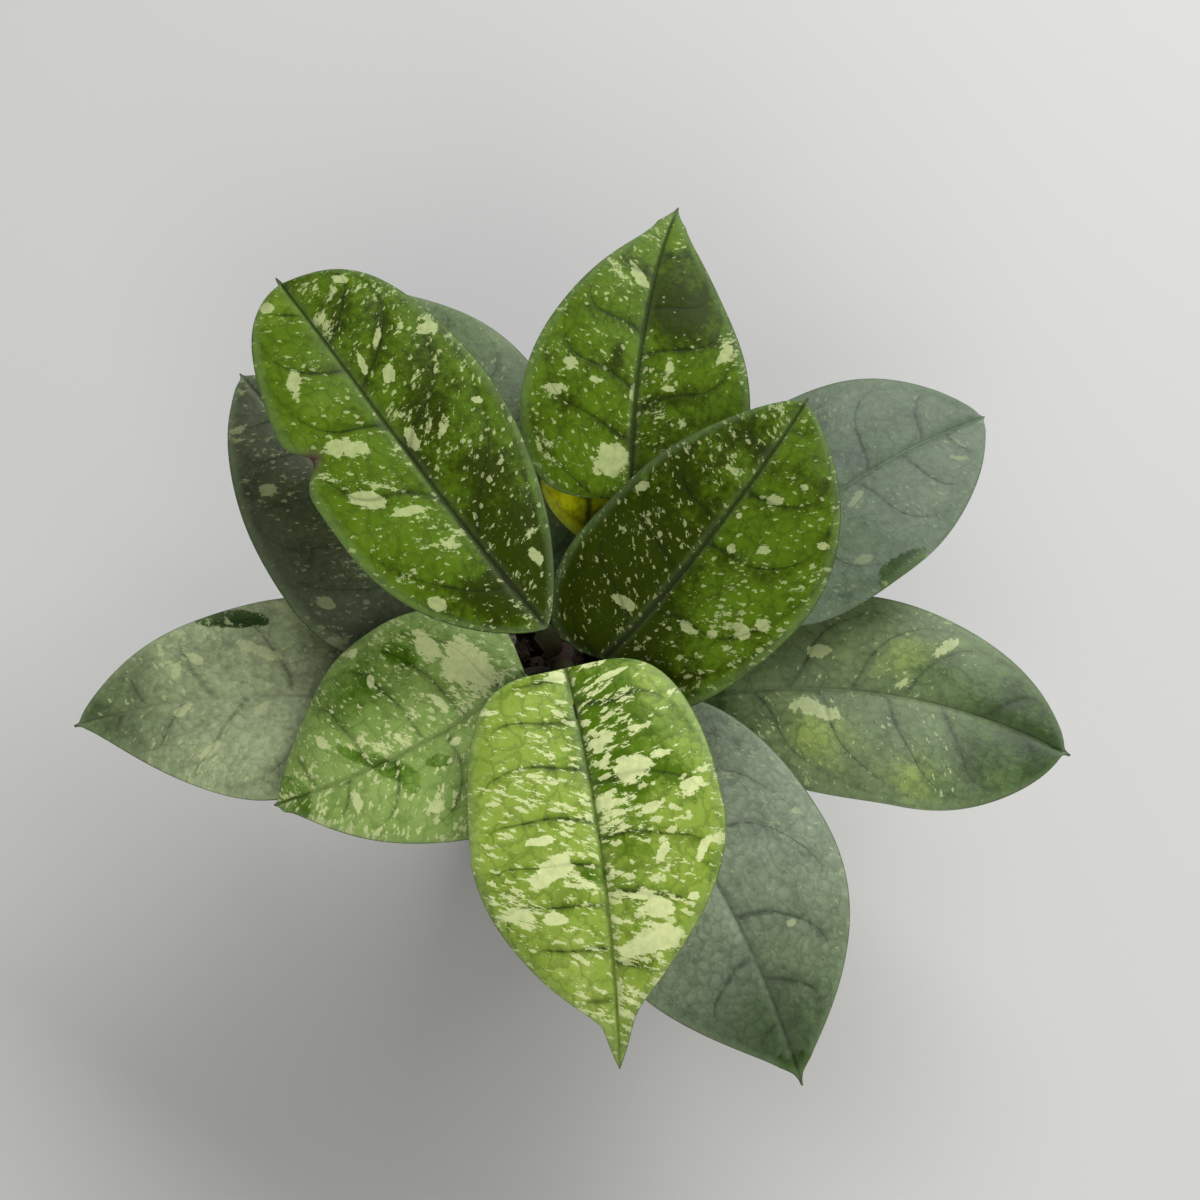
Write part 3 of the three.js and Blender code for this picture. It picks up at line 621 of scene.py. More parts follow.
def bladeMesh(leaf, seed):
    sizes = bladeSettings
    rows, length = sizes["rows"], leaf["length"]
    even = np.linspace(0, 1, rows)
    along = sizes["evenRows"] * even + sizes["endRows"] * (1 - np.cos(math.pi * even)) / 2
    nearMidrib, inner = sizes["midribColumns"]
    outer, nearRim = sizes["rimColumns"]
    oneSide = np.concatenate([[nearMidrib], np.linspace(inner, outer, sizes["columns"] // 2), [nearRim, 1]])
    across = np.concatenate([-oneSide[::-1], [0], oneSide])[None, :]
    side, share, onLeft = np.sign(across), np.abs(across), across > 0
    centre, forward, left, up = midribFrames(leaf, along)
    down = along[:, None]

    # outline, with the nick in its left edge where there is one
    leftShare, rightShare = outlineShare(leaf, along, 1)[:, None], outlineShare(leaf, along, -1)[:, None]
    half = leaf["width"] / 2 * np.where(onLeft, leftShare, rightShare)
    half = half * (1 + leaf["skew"] * side)
    wholeHalf = np.maximum(half, sizes["blunt"])
    if leaf["nick"]:
        nickPlace, depth, width = leaf["nick"]
        notch = np.exp(-(((down - nickPlace) * length / width) ** 2))
        half = half - onLeft * depth * notch
    ending = np.clip((1 - down) / sizes["tipEnd"], 0, 1)
    half = np.maximum(half, sizes["blunt"] * (sizes["tipBlunt"] + (1 - sizes["tipBlunt"]) * ending))

    # fold, arch and waved edge, and the base corners that reach back past the petiole
    turn = leaf["waves"] * down + leaf["phase"] + np.where(onLeft, sizes["leftWaveLead"], 0)
    wave = leaf["wave"] * share ** 2 * np.sin(fullTurn * turn) * np.sin(math.pi * along)[:, None]
    lift = half * (leaf["fold"] * share - leaf["arch"] * share ** 2) + wave
    lobe = leaf["lobe"] + leaf["lobeUneven"] * side
    back = lobe * share ** 2 * half / leaf["width"] * 2 * np.exp(-along / sizes["lobeReach"])[:, None]
    narrow = np.clip(half / sizes["narrowBelow"], 0, 1)
    lengthwise = down * length - back
    lateral = across * half
    distance = np.abs(lateral)
    edge = (1 - share) * half

    # relief: midrib groove and its shoulders, sunk side veins, quilting and a slow drift
    count = veinCount(leaf, lengthwise, distance, distance / wholeHalf, np.where(onLeft, 1, -1), seed)
    toVein = np.abs(count - np.round(count)) * leaf["veinSpacing"]
    plain, plainFade = sizes["plainEdge"]
    inside = np.clip((edge - plain) / plainFade, 0, 1) * np.clip(distance / sizes["plainMiddle"], 0, 1)
    groove = sizes["grooveDepth"] * np.exp(-((distance / sizes["grooveWidth"]) ** 2)) * narrow
    shoulderReach = (distance - sizes["shoulderPlace"]) / sizes["shoulderWidth"]
    shoulder = sizes["shoulderHeight"] * np.exp(-(shoulderReach ** 2)) * narrow
    veins = sizes["veinGroove"] * np.exp(-((toVein / sizes["veinWidth"]) ** 2)) * inside
    quilt = sizes["quilting"] * (0.5 - 0.5 * np.cos(fullTurn * count)) * inside
    waveA, waveB, waveC, waveD = sizes["driftWaves"]
    drift = np.sin(lengthwise / waveA + seed) * np.sin(lateral / waveB + seed * 1.7)
    drift = (drift + 0.5 * np.sin(lengthwise / waveC + lateral / waveD + seed * 3)) * sizes["drift"] * inside
    relief = shoulder + quilt + drift - groove - veins - sizes["settle"] * narrow
    rim = np.where(share == 1, sizes["rimDrop"], np.where(share >= nearRim, sizes["rimEase"], 0)) * narrow
    edgeThickness, middleThickness = sizes["edgeThickness"], sizes["middleThickness"]
    thickness = edgeThickness + (middleThickness - edgeThickness) * (1 - share ** 2) * narrow
    thickness = thickness - sizes["settle"] * narrow
    rib = (sizes["ribDepth"] * np.exp(-((distance / sizes["ribWidth"]) ** 2)) * narrow
           + sizes["underVeinDepth"] * np.exp(-((toVein / sizes["underVeinWidth"]) ** 2)) * inside)
    shape = lambda values: values[:, :, None]
    spread = centre[:, None] + left[:, None] * shape(lateral) - forward[:, None] * shape(back)
    top = spread + up[:, None] * shape(lift + relief - rim)
    under = spread + up[:, None] * shape(lift + drift - sizes["settle"] * narrow - thickness - rib + rim)
    points = np.concatenate([top.reshape(-1, 3), under.reshape(-1, 3)])

    # what the material reads: places in millimetres, vein numbers, and the listed spots
    leftBase, leftTip, rightBase, rightTip = leaf["grain"]
    tilt = np.where(onLeft, leftBase + (leftTip - leftBase) * down, rightBase + (rightTip - rightBase) * down)
    blade = (length, lengthwise, lateral, half)
    patch = firmSpots(blade, leaf["patches"])
    for spot in leaf["bare"]:
        patch = patch - np.exp(-spotReach(blade, spot) ** 4)
    # painted light and shade: one half of the blade lighter or darker as light falls on the folded leaf, and
    # soft spots that are partly the leaf's own colour and partly painted shade near the base and under other
    # leaves
    toneAndShading = leaf["toneAndShading"] + leaf["leftHalfShading"] * np.clip(lateral / sizes["sideBlend"], -1, 1)
    toneAndShading = addSoftSpots(toneAndShading, blade, leaf["tonesAndShading"])
    # bloom and painted sheen: how strongly a grey-green is laid over the blade, partly the wax bloom of older
    # leaves, partly painted reflection of a bright window
    bloomAndSheenAmount = np.clip(addSoftSpots(leaf["bloomAndSheenAmount"], blade, leaf["bloomAndSheenSpots"]), 0, 1)
    stain = 0
    if leaf["nick"]:
        fromEdge = edge * onLeft + 99 * ~onLeft  # far away on the right half, which has no nick
        gap = np.hypot(lengthwise - nickPlace * length, fromEdge)
        stain = np.exp(-(gap / sizes["stainReach"]) ** 2)
    ones = np.ones_like(lateral)
    layers = {
        "leafPlace": (lengthwise, lateral, 1), "leafMarks": (count, edge, patch),
        "leafToneShadingSheen": (toneAndShading, bloomAndSheenAmount, stain),
        "leafGrain": (lengthwise - distance * tilt, 0, firmSpots(blade, leaf["clear"])),
    }
    attributes = {}
    for label, parts in layers.items():
        above = np.stack([part * ones for part in parts], -1).reshape(-1, 3)
        below = above * (1, 1, 0) if label == "leafPlace" else above  # its last part is 1 on the top
        attributes[label] = np.concatenate([above, below])
    return points, shellFaces(rows, across.size), attributes


def petiolePath(leaf):
    sizes = petioleSettings
    along = np.linspace(0, sizes["underShare"], sizes["underSteps"])
    centre, forward, left, up = midribFrames(leaf, along)
    thick = leaf["petiole"]
    under = sizes["bladeGap"] + bladeSettings["settle"] + bladeSettings["grooveDepth"]
    meet = centre[0] - up[0] * (thick * sizes["sinks"][0] + under)
    knot = np.array(leaf["knot"], float)
    outward = meet - knot
    outward[2] = 0
    knot = knot + outward / np.linalg.norm(outward) * sizes["knotSink"]
    reach = np.linalg.norm(meet - knot)
    approach = meet - forward[0] * reach * leaf["ease"]
    share = np.linspace(0, 1, sizes["steps"])[:, None]
    bend = knot * (1 - share) ** 2 + approach * 2 * share * (1 - share) + meet * share ** 2
    drop = (thick * np.array(sizes["sinks"]) + under)[:, None]
    path = np.concatenate([bend, (centre - up * drop)[1:]])
    for _ in range(sizes["smoothings"]):
        path[1:-1] = (path[:-2] + path[1:-1] * 2 + path[2:]) / 4
    travel = np.concatenate([[0], np.cumsum(np.linalg.norm(np.diff(path, axis=0), axis=1))])
    radii = thick * np.interp(travel / travel[-1], sizes["places"], sizes["radii"])
    return path, radii, travel


def buildLeaf(name, leaf, order, bladeMaterial, petioleMaterial):
    points, faces, attributes = bladeMesh(leaf, bladeSettings["seed"] + order * bladeSettings["seedStep"])
    path, radii, travel = petiolePath(leaf)
    sides = petioleSettings["sides"]
    tube = tubePoints(path, radii, sides)
    bladeFaces = len(faces)
    faces += tubeFaces(len(path), sides, len(points))
    material = [0] * bladeFaces + [1] * (len(faces) - bladeFaces)
    piece = meshPiece(
        name + "_blade", np.concatenate([points, tube]), faces, [bladeMaterial, petioleMaterial],
        name, faceMaterial=material)
    tubePlace = np.zeros_like(tube)
    tubePlace[:, 0] = np.repeat(travel, sides)
    for label, values in attributes.items():
        extra = tubePlace if label == "leafPlace" else np.zeros_like(tube)
        attribute = piece.data.attributes.new(label, "FLOAT_VECTOR", "POINT")
        attribute.data.foreach_set("vector", np.concatenate([values, extra]).astype(np.float32).ravel())


# leaf materials

leafColours = {
    "deep": {
        "dark": (0.028, 0.046, 0.001, 1), "mid": (0.090, 0.165, 0.007, 1), "light": (0.155, 0.250, 0.022, 1),
        "shine": 0.08,
    },
    "mid": {
        "dark": (0.065, 0.155, 0.001, 1), "mid": (0.195, 0.340, 0.050, 1), "light": (0.330, 0.480, 0.120, 1),
        "shine": 0.25,
    },
    "bright": {
        "dark": (0.085, 0.170, 0.002, 1), "mid": (0.270, 0.390, 0.050, 1), "light": (0.440, 0.560, 0.120, 1),
        "shine": 0.22,
    },
    "grey": {
        "dark": (0.022, 0.055, 0.005, 1), "mid": (0.075, 0.135, 0.026, 1), "light": (0.250, 0.340, 0.055, 1),
        "shine": 0.3,
    },
    # dark: the low left leaf's own olive green, painted much darker as shade from the upper left leaf above
    # it
    "dark": {
        "dark": (0.012, 0.014, 0.002, 1), "mid": (0.034, 0.040, 0.012, 1), "light": (0.058, 0.082, 0.036, 1),
        "shine": 0.2,
    },
    # the young leaf's own yellow-green, made lighter as painted light because it sits in the shade under the
    # back leaf
    "young": {
        "dark": (0.330, 0.320, 0.001, 1), "mid": (0.680, 0.730, 0.008, 1), "light": (0.850, 0.830, 0.030, 1),
        "shine": 0.3,
    },
}

surfaceSettings = {
    "cream": (0.74, 0.80, 0.38, 1), "silver": (0.20, 0.30, 0.10, 1), "waxAndSheen": (0.19, 0.27, 0.12, 1),
    "vein": (0.014, 0.024, 0.004, 1), "midrib": (0.026, 0.034, 0.014, 1), "beside": (0.17, 0.22, 0.11, 1),
    "rim": (0.014, 0.026, 0.010, 1), "stain": (0.070, 0.024, 0.034, 1),
    "under": (0.150, 0.205, 0.080, 1),
    "refraction": 1.46, "bumpDepth": 0.0003, "bumpStrength": 0.7, "seed": 3.1, "seedStep": 11.7,
}

# scales are per millimetre, widths and reaches in millimetres
markSettings = {
    "cloudScale": 0.085, "smallScale": 0.6, "gatherScale": 0.06, "sprayScale": 0.24, "fleckScale": 0.7,
    "dotScale": 0.55, "bumpScale": 0.5,
    "halfShift": 7.3, "dotShift": 31.0, "netWarps": (5.0, 9.0), "dotWarp": 3.0,
    "tornSmall": 1.1, "tornCloud": (0.9, -1.0), "clearEdge": (0.62, 0.82),
    "toneWeight": 0.55, "smallWeight": 0.7, "middleGreen": (0.0, 0.5), "lightGreen": (0.45, 1.1),
    "baseLight": -0.17, "onVeinLight": -0.37, "offVeinLight": -0.22, "clearLight": -0.25,
    "veinsFromEdge": (1.5, 9.0), "veinsFromMidrib": (0.2, 1.2), "veinWidths": (1.1, 0.5), "veinTaper": 18.0,
    "haloReach": (0.2, 2.0), "midribTaper": 90.0, "midribWidths": (1.25, 0.55), "besideReach": (0.8, 2.4),
    "veinDarkness": 0.45, "haloDarkness": 0.18, "veinOverCream": -0.22,
    "splashLimit": (-0.085, 0.803), "fleckLimit": (-0.06, 0.72), "dotRoom": (0.2, 0.02), "dotShare": 0.85,
    "splashEdge": (-0.002, 0.010), "fleckEdge": (0.0, 0.02), "dotEdge": (-0.02, 0.05),
    "silverEdge": (-0.05, 0.0), "silverShare": 0.16,
    "patchPull": 0.17, "raggedPull": 0.14, "bareHold": 0.2, "gatherPull": 0.3,
    "besideShare": 0.15, "waxAndSheenReach": (0.2, 3.4), "waxAndSheenShare": 0.34, "rimReach": 0.3, "rimShare": 0.8,
    "paleness": (0.7, 0.5), "mottling": (0.9, 0.7), "bloomAndSheenInMarks": -0.6, "topRoughness": 0.28,
    "underShare": 0.6, "underVeins": 0.35, "underRoughness": 0.55,
}


def makeLeafGroup():
    tree, given, result = newGroup(
        "hoyaLeafSurface",
        {**dict.fromkeys(("Place", "Marks", "ToneShadingSheen", "Grain"), "Vector"),
         **dict.fromkeys(("Seed", "Vein spacing", "Net scale", "Net width", "Net depth", "Splash", "Dots",
                          "Stretch", "Cream", "Rib"), "Float"),
         **dict.fromkeys(("Bloom and sheen colour", "Dark colour", "Middle colour", "Light colour"), "Color")},
        {"Colour": "Color", "Roughness": "Float", "Height": "Float"})
    mark, paint = markSettings, surfaceSettings
    along, across, isTop = splitParts(tree, given["Place"])
    count, edge, patch = splitParts(tree, given["Marks"])
    toneAndShading, bloomAndSheenAmount, stain = splitParts(tree, given["ToneShadingSheen"])
    grainwise, _, clear = splitParts(tree, given["Grain"])
    distance = calc(tree, "ABSOLUTE", across)
    # the two halves of a leaf, and all the leaves, get marks of their own
    layer = scaled(tree, calc(tree, "SIGN", across), mark["halfShift"], given["Seed"])
    outward = times(tree, distance, given["Stretch"])
    onBlade = joinParts(tree, along, across, layer)
    grain = joinParts(tree, grainwise, outward, layer)

    # green, in soft clouds and lighter between the side veins, with painted light and shade from the soft
    # spots and a darker green in the clear spots
    cloud = cloudNoise(tree, onBlade, mark["cloudScale"], 3, 0.6)
    small = cloudNoise(tree, onBlade, mark["smallScale"], 3, 0.6)
    torn = scaled(tree, small, mark["tornSmall"], scaled(tree, cloud, *mark["tornCloud"]))
    # clear spots: no painted sheen there, and the green is painted darker
    gone = fade(tree, plus(tree, clear, torn), *mark["clearEdge"])
    offVein = calc(tree, "ABSOLUTE", minus(tree, count, calc(tree, "ROUND", count)))
    light = scaled(tree, toneAndShading, mark["toneWeight"], plus(tree, cloud, mark["baseLight"]))
    light = scaled(tree, gone, mark["clearLight"], scaled(tree, small, mark["smallWeight"], light))
    light = plus(tree, light, fade(tree, offVein, 0.0, 0.3, mark["onVeinLight"], mark["offVeinLight"]))
    middleShare, lightShare = fade(tree, light, *mark["middleGreen"]), fade(tree, light, *mark["lightGreen"])
    colour = blendColours(tree, middleShare, given["Dark colour"], given["Middle colour"])
    colour = blendColours(tree, lightShare, colour, given["Light colour"])

    # side veins with their loops near the margin, a weaker net between them, and the midrib
    warpAlong, warpAcross = mark["netWarps"]
    warped = joinParts(tree, scaled(tree, small, warpAlong, along), scaled(tree, cloud, warpAcross, across),
                       layer)
    net = fade(tree, cellEdges(tree, warped, given["Net scale"]), 0.0, given["Net width"], 1.0, 0.0)
    veinGap = times(tree, offVein, given["Vein spacing"])
    inside = times(tree, fade(tree, edge, *mark["veinsFromEdge"]),
                   fade(tree, distance, *mark["veinsFromMidrib"]))
    veinWidth = fade(tree, distance, 0.0, mark["veinTaper"], *mark["veinWidths"])
    thread = times(tree, fade(tree, veinGap, 0.0, veinWidth, 1.0, 0.0), inside)
    halo = times(tree, fade(tree, veinGap, *mark["haloReach"], 1.0, 0.0), inside)
    midribWidth = fade(tree, along, 0.0, mark["midribTaper"], *mark["midribWidths"])
    midrib = fade(tree, distance, 0.1, midribWidth, 1.0, 0.0)
    besideRib = minus(tree, fade(tree, distance, *mark["besideReach"], 1.0, 0.0), midrib, clampIt=True)
    darkVein = scaled(tree, thread, mark["veinDarkness"], times(tree, net, given["Net depth"]))
    darkVein = scaled(tree, halo, mark["haloDarkness"], darkVein, clampIt=True)
    colour = blendColours(tree, darkVein, colour, paint["vein"])

    # splashes: torn spray that runs with the side veins, gathered round the listed patches
    gather = cloudNoise(tree, onBlade, mark["gatherScale"], 1, 0.5)
    spray = cloudNoise(tree, grain, mark["sprayScale"], 6, 0.75)
    ragged = scaled(tree, torn, 1.3, patch)
    near = plus(tree, fade(tree, patch, 0.3, 1.1, 0.0, mark["patchPull"]),
                fade(tree, ragged, 0.8, 1.3, 0.0, mark["raggedPull"]))
    kept = times(tree, calc(tree, "MINIMUM", patch, 0.0), mark["bareHold"])
    level = plus(tree, scaled(tree, gather, mark["gatherPull"], spray), plus(tree, near, kept))
    over = minus(tree, level, scaled(tree, given["Splash"], *mark["splashLimit"]))
    splash = fade(tree, over, *mark["splashEdge"])

    # fine flecks and round dots
    flecks = cloudNoise(tree, grain, mark["fleckScale"], 4, 0.75)
    fleckLimit = scaled(tree, gather, -0.12, scaled(tree, given["Dots"], *mark["fleckLimit"]))
    fleck = fade(tree, minus(tree, plus(tree, flecks, kept), fleckLimit), *mark["fleckEdge"])
    cell = tree.nodes.new("ShaderNodeTexVoronoi")
    cell.voronoi_dimensions = "2D"
    feed(tree, cell.inputs["Scale"], mark["dotScale"])
    feed(tree, cell.inputs["Vector"], joinParts(
        tree, scaled(tree, small, mark["dotWarp"], grainwise),
        scaled(tree, layer, mark["dotShift"], outward), 0))
    luck = splitParts(tree, cell.outputs["Color"])[0]
    room = scaled(tree, luck, -0.5, scaled(tree, given["Dots"], *mark["dotRoom"]))
    room = scaled(tree, gather, mark["gatherPull"], plus(tree, room, kept))
    dots = fade(tree, minus(tree, room, cell.outputs["Distance"]), *mark["dotEdge"])
    cream = larger(tree, larger(tree, splash, fleck), times(tree, dots, mark["dotShare"]))
    cream = times(tree, cream, fade(tree, distance, 0.3, 0.7))
    silver = fade(tree, over, *mark["silverEdge"], 0.0, mark["silverShare"])
    colour = blendColours(tree, silver, colour, paint["silver"])
    paleness = scaled(tree, small, *mark["paleness"], clampIt=True)
    keep = scaled(tree, thread, mark["veinOverCream"], given["Cream"])
    creamShare = times(tree, times(tree, cream, paleness), keep, clampIt=True)
    colour = blendColours(tree, creamShare, colour, paint["cream"])

    # midrib, a pale margin of wax and painted sheen, grey-green bloom and painted sheen on the lower leaves,
    # and the mark at the nick
    colour = blendColours(tree, times(tree, besideRib, mark["besideShare"]), colour, paint["beside"])
    colour = blendColours(tree, times(tree, midrib, given["Rib"]), colour, paint["midrib"])
    # pale margin: partly wax, partly painted sheen where the curving margin would catch the light
    waxAndSheenShare = fade(tree, edge, *mark["waxAndSheenReach"], mark["waxAndSheenShare"], 0.0)
    colour = blendColours(tree, waxAndSheenShare, colour, paint["waxAndSheen"])
    smallMottling, cloudMottling = mark["mottling"]
    mottled = scaled(tree, small, smallMottling, times(tree, cloud, cloudMottling))
    # painted sheen laid over the lower leaves, partly wax bloom and partly painted reflection; thinner on
    # veins and cream, none in the clear spots
    bloomAndSheenShare = times(tree, times(tree, bloomAndSheenAmount, mottled), minus(tree, 1.0, gone), clampIt=True)
    for covered in (darkVein, creamShare):
        bloomAndSheenShare = times(tree, bloomAndSheenShare, scaled(tree, covered, mark["bloomAndSheenInMarks"], 1.0))
    colour = blendColours(tree, bloomAndSheenShare, colour, given["Bloom and sheen colour"])
    rimShare = fade(tree, edge, 0.0, mark["rimReach"], mark["rimShare"], 0.0)
    colour = blendColours(tree, rimShare, colour, paint["rim"])
    colour = blendColours(tree, stain, colour, paint["stain"])

    # the underside is paler and plain, with faint veins
    pale = blendColours(tree, mark["underShare"], given["Middle colour"], paint["under"])
    pale = blendColours(tree, times(tree, darkVein, mark["underVeins"]), pale, paint["vein"])
    feed(tree, result["Colour"], blendColours(tree, isTop, pale, colour))
    rough = scaled(tree, small, 0.2, scaled(tree, bloomAndSheenAmount, 0.1, mark["topRoughness"]))
    feed(tree, result["Roughness"], fade(tree, isTop, 0, 1, mark["underRoughness"], rough))
    sunk = scaled(tree, thread, -0.15, times(tree, midrib, -0.4))
    rise = cloudNoise(tree, onBlade, mark["bumpScale"], 3, 0.6)
    feed(tree, result["Height"], scaled(tree, rise, 0.8, sunk))
    return tree


def leafMaterial(name, leaf, order, group):
    material, tree, shader = newMaterial(name)
    colours = leafColours[leaf["look"]]
    out = useGroup(tree, group, {
        "Place": readAttribute(tree, "leafPlace"), "Marks": readAttribute(tree, "leafMarks"),
        "ToneShadingSheen": readAttribute(tree, "leafToneShadingSheen"), "Grain": readAttribute(tree, "leafGrain"),
        "Seed": surfaceSettings["seed"] + order * surfaceSettings["seedStep"],
        "Vein spacing": leaf["veinSpacing"], "Net scale": leaf["net"][0], "Net width": leaf["net"][1],
        "Net depth": leaf["net"][2], "Splash": leaf["splash"], "Dots": leaf["dots"],
        "Stretch": leaf["stretch"], "Cream": leaf["cream"], "Rib": leaf["rib"], "Bloom and sheen colour": leaf["bloomAndSheen"],
        "Dark colour": colours["dark"], "Middle colour": colours["mid"], "Light colour": colours["light"],
    })
    shader.inputs["IOR"].default_value = surfaceSettings["refraction"]
    shader.inputs["Specular IOR Level"].default_value = colours["shine"]
    finishShader(tree, shader, out["Colour"], out["Roughness"], out["Height"],
                 surfaceSettings["bumpDepth"], surfaceSettings["bumpStrength"])
    return material


def petioleMaterial():
    material, tree, shader = newMaterial("petioleGreen")
    along = splitParts(tree, readAttribute(tree, "leafPlace"))[0]
    own, place = petioleSettings, surfacePlace(tree)
    speckle = cloudNoise(tree, place, own["specksPerMetre"], 3, 0.6)
    cloud = cloudNoise(tree, place, own["cloudsPerMetre"], 3, 0.6)
    # browner and darker towards the knot: partly the stalk's own purple-brown, partly painted shade from the
    # leaves over the plant's middle
    brownAndShade = fade(tree, along, 0, own["brownAndShade"], own["baseBrown"], own["bladeBrown"])
    tint = plus(tree, brownAndShade, scaled(tree, cloud, 0.7, -0.35), clampIt=True)
    colour = blendColours(tree, tint, own["green"], own["brown"])
    colour = blendColours(tree, fade(tree, speckle, 0.56, 0.66, 0, 0.25), colour, own["speck"])
    shader.inputs["Specular IOR Level"].default_value = own["shine"]
    finishShader(tree, shader, colour, scaled(tree, speckle, 0.3, 0.4), speckle,
                 own["bumpDepth"], own["bumpStrength"])
    return material


leafGroup = makeLeafGroup()
petioleGreen = petioleMaterial()
print("leaf materials ready")
for order, (leafName, own) in enumerate(leaves.items()):
    leaf = {**usualLeaf, **own}
    surface = leafMaterial(leafName + "_surface", leaf, order, leafGroup)
    buildLeaf(leafName, leaf, order, surface, petioleGreen)
print("leaves built:", len(leaves))


# stems

stemSettings = {
    "radius": 2.6, "knotRadius": 3.4, "knotReach": 3.2, "sides": 28, "rings": 120,
    "scarDepth": 0.18, "scarPlace": 1.45, "scarWidth": 0.12, "tipFrom": 0.965, "tipShare": 0.035,
    # green: nearly black, the young stem's green darkened as painted shade under the leaves
    "bark": (0.060, 0.040, 0.022, 1), "flush": (0.040, 0.008, 0.017, 1), "green": (0.018, 0.018, 0.009, 1),
    "dry": (0.08, 0.06, 0.04, 1), "shine": 0.08, "streaksPerMetre": (900, 220),
    "flushShare": 0.7, "dryShare": 0.4, "roughness": (0.4, 0.45), "bumpDepth": 0.0005, "bumpStrength": 0.8,
    "greenAndShadeFrom": (0.066, 0.112),  # heights in metres, as materials read them
}
stems = {
    "stem_front": {
        "path": [(-5, -5, 34), (-4.8, -4, 62), (-4.5, -3, 78), (-4, -2, 87), (-3.5, -1.5, 98),
                 (-3, -1, 109), (-3, -1, 113)],
        "knots": frontKnots,
    },
    "stem_back": {
        "path": [(5, 17, 34), (5.5, 19.5, 62), (7, 24, 89), (8, 26, 102), (8, 27, 106.5)],
        "knots": backKnots,
    },
}


# a smooth curve through the points, with count places on it
def smoothPath(points, count):
    points = np.array(points, float)
    last = len(points) - 1
    out = []
    for value in np.linspace(0, last, count):
        i = min(int(value), last - 1)
        t = value - i
        before, a, b, after = points[max(i - 1, 0)], points[i], points[i + 1], points[min(i + 2, last)]
        out.append(0.5 * (2 * a + (b - before) * t + (2 * before - 5 * a + 4 * b - after) * t ** 2
                          + (3 * a - before - 3 * b + after) * t ** 3))
    return np.array(out)


def stemMaterial():
    material, tree, shader = newMaterial("stemBark")
    own = stemSettings
    streaks = streakNoise(tree, *own["streaksPerMetre"], 4, 0.6)
    # green towards the top, nearly black: the young stem's green, darkened as painted shade under the leaves
    rise = fade(tree, splitParts(tree, surfacePlace(tree))[2], *own["greenAndShadeFrom"])
    colour = blendColours(tree, rise, own["bark"], own["green"])
    colour = blendColours(tree, fade(tree, streaks, 0.42, 0.62, 0, own["flushShare"]), colour, own["flush"])
    colour = blendColours(tree, fade(tree, streaks, 0.62, 0.7, 0, own["dryShare"]), colour, own["dry"])
    shader.inputs["Specular IOR Level"].default_value = own["shine"]
    finishShader(tree, shader, colour, scaled(tree, streaks, *own["roughness"]), streaks,
                 own["bumpDepth"], own["bumpStrength"])
    return material


def buildStem(name, stem, material):
    sizes = stemSettings
    path = smoothPath(stem["path"], sizes["rings"])
    radii = np.full(len(path), sizes["radius"])
    for knot in stem["knots"]:
        gap = np.linalg.norm(path - np.array(knot, float), axis=1) / sizes["knotReach"]
        radii += (sizes["knotRadius"] - sizes["radius"]) * np.exp(-gap ** 2)
        # a shallow ring above and below each knot
        radii -= sizes["scarDepth"] * np.exp(-((gap - sizes["scarPlace"]) / sizes["scarWidth"]) ** 2)
    travel = np.linspace(0, 1, len(path))
    rounding = np.sqrt(np.clip((1 - travel) / sizes["tipShare"], 0, 1)) * 0.9 + 0.1
    radii *= np.where(travel > sizes["tipFrom"], rounding, 1)
    meshPiece(name + "_bark", tubePoints(path, radii, sizes["sides"]), tubeFaces(len(path), sizes["sides"]),
              [material], name)


stemSurface = stemMaterial()
for stemName, stem in stems.items():
    buildStem(stemName, stem, stemSurface)
print("stems built")


# potting mix

mixSettings = {
    "level": 64.0, "crown": 1.4, "radius": 36.6, "floor": 2.1, "floorRadius": 27.4,
    "rings": 34, "around": 96, "bumps": (1.3, 4), "grit": (0.5, 1.6), "sink": 1.2,
    "chips": 620, "chipLength": (3.0, 8.5), "chipBreadth": (0.35, 0.7), "chipDepth": (0.16, 0.32),
    "chipTilt": (-0.5, 0.5), "chipTurn": (0, 6.28), "chipSink": (-0.5, 1.3), "chipWear": (-0.35, 0.15),
    "chipMargin": 3.4, "lumps": 46, "lumpSize": (1.0, 2.3), "lumpMargin": 2.6, "lumpRise": 0.2,
    "lumpBands": 6, "lumpTurns": 9, "lumpBulge": (0.3, 1.8), "seed": 21,
    # the mix is dark brown with pale perlite; its colours are made darker and duller overall as painted shade
    # from the leaves over it
    "dark": (0.012, 0.007, 0.005, 1), "brown": (0.075, 0.040, 0.021, 1), "fibre": (0.26, 0.17, 0.10, 1),
    "crumbDark": (0.006, 0.004, 0.003, 1), "crumbBrown": (0.060, 0.036, 0.020, 1),
    "pore": (0.17, 0.14, 0.11, 1), "pale": (0.36, 0.34, 0.30, 1),
    "fibresPerMetre": 1100, "crumbsPerMetre": 700, "poresPerMetre": 1500,
    "chipRoughness": 0.9, "crumbRoughness": 0.95, "lumpRoughness": 0.85,
    "chipBump": (0.0008, 0.9), "crumbBump": (0.0015, 1.0), "lumpBump": (0.0006, 0.8),  # depth, strength
}
chipCorners = ((-1, -1, -1), (1, -1, -1), (1, 1, -1), (-1, 1, -1),
               (-1, -1, 1), (1, -1, 1), (1, 1, 1), (-1, 1, 1))
chipSides = ((0, 3, 2, 1), (4, 5, 6, 7), (0, 1, 5, 4), (1, 2, 6, 5), (2, 3, 7, 6), (3, 0, 4, 7))


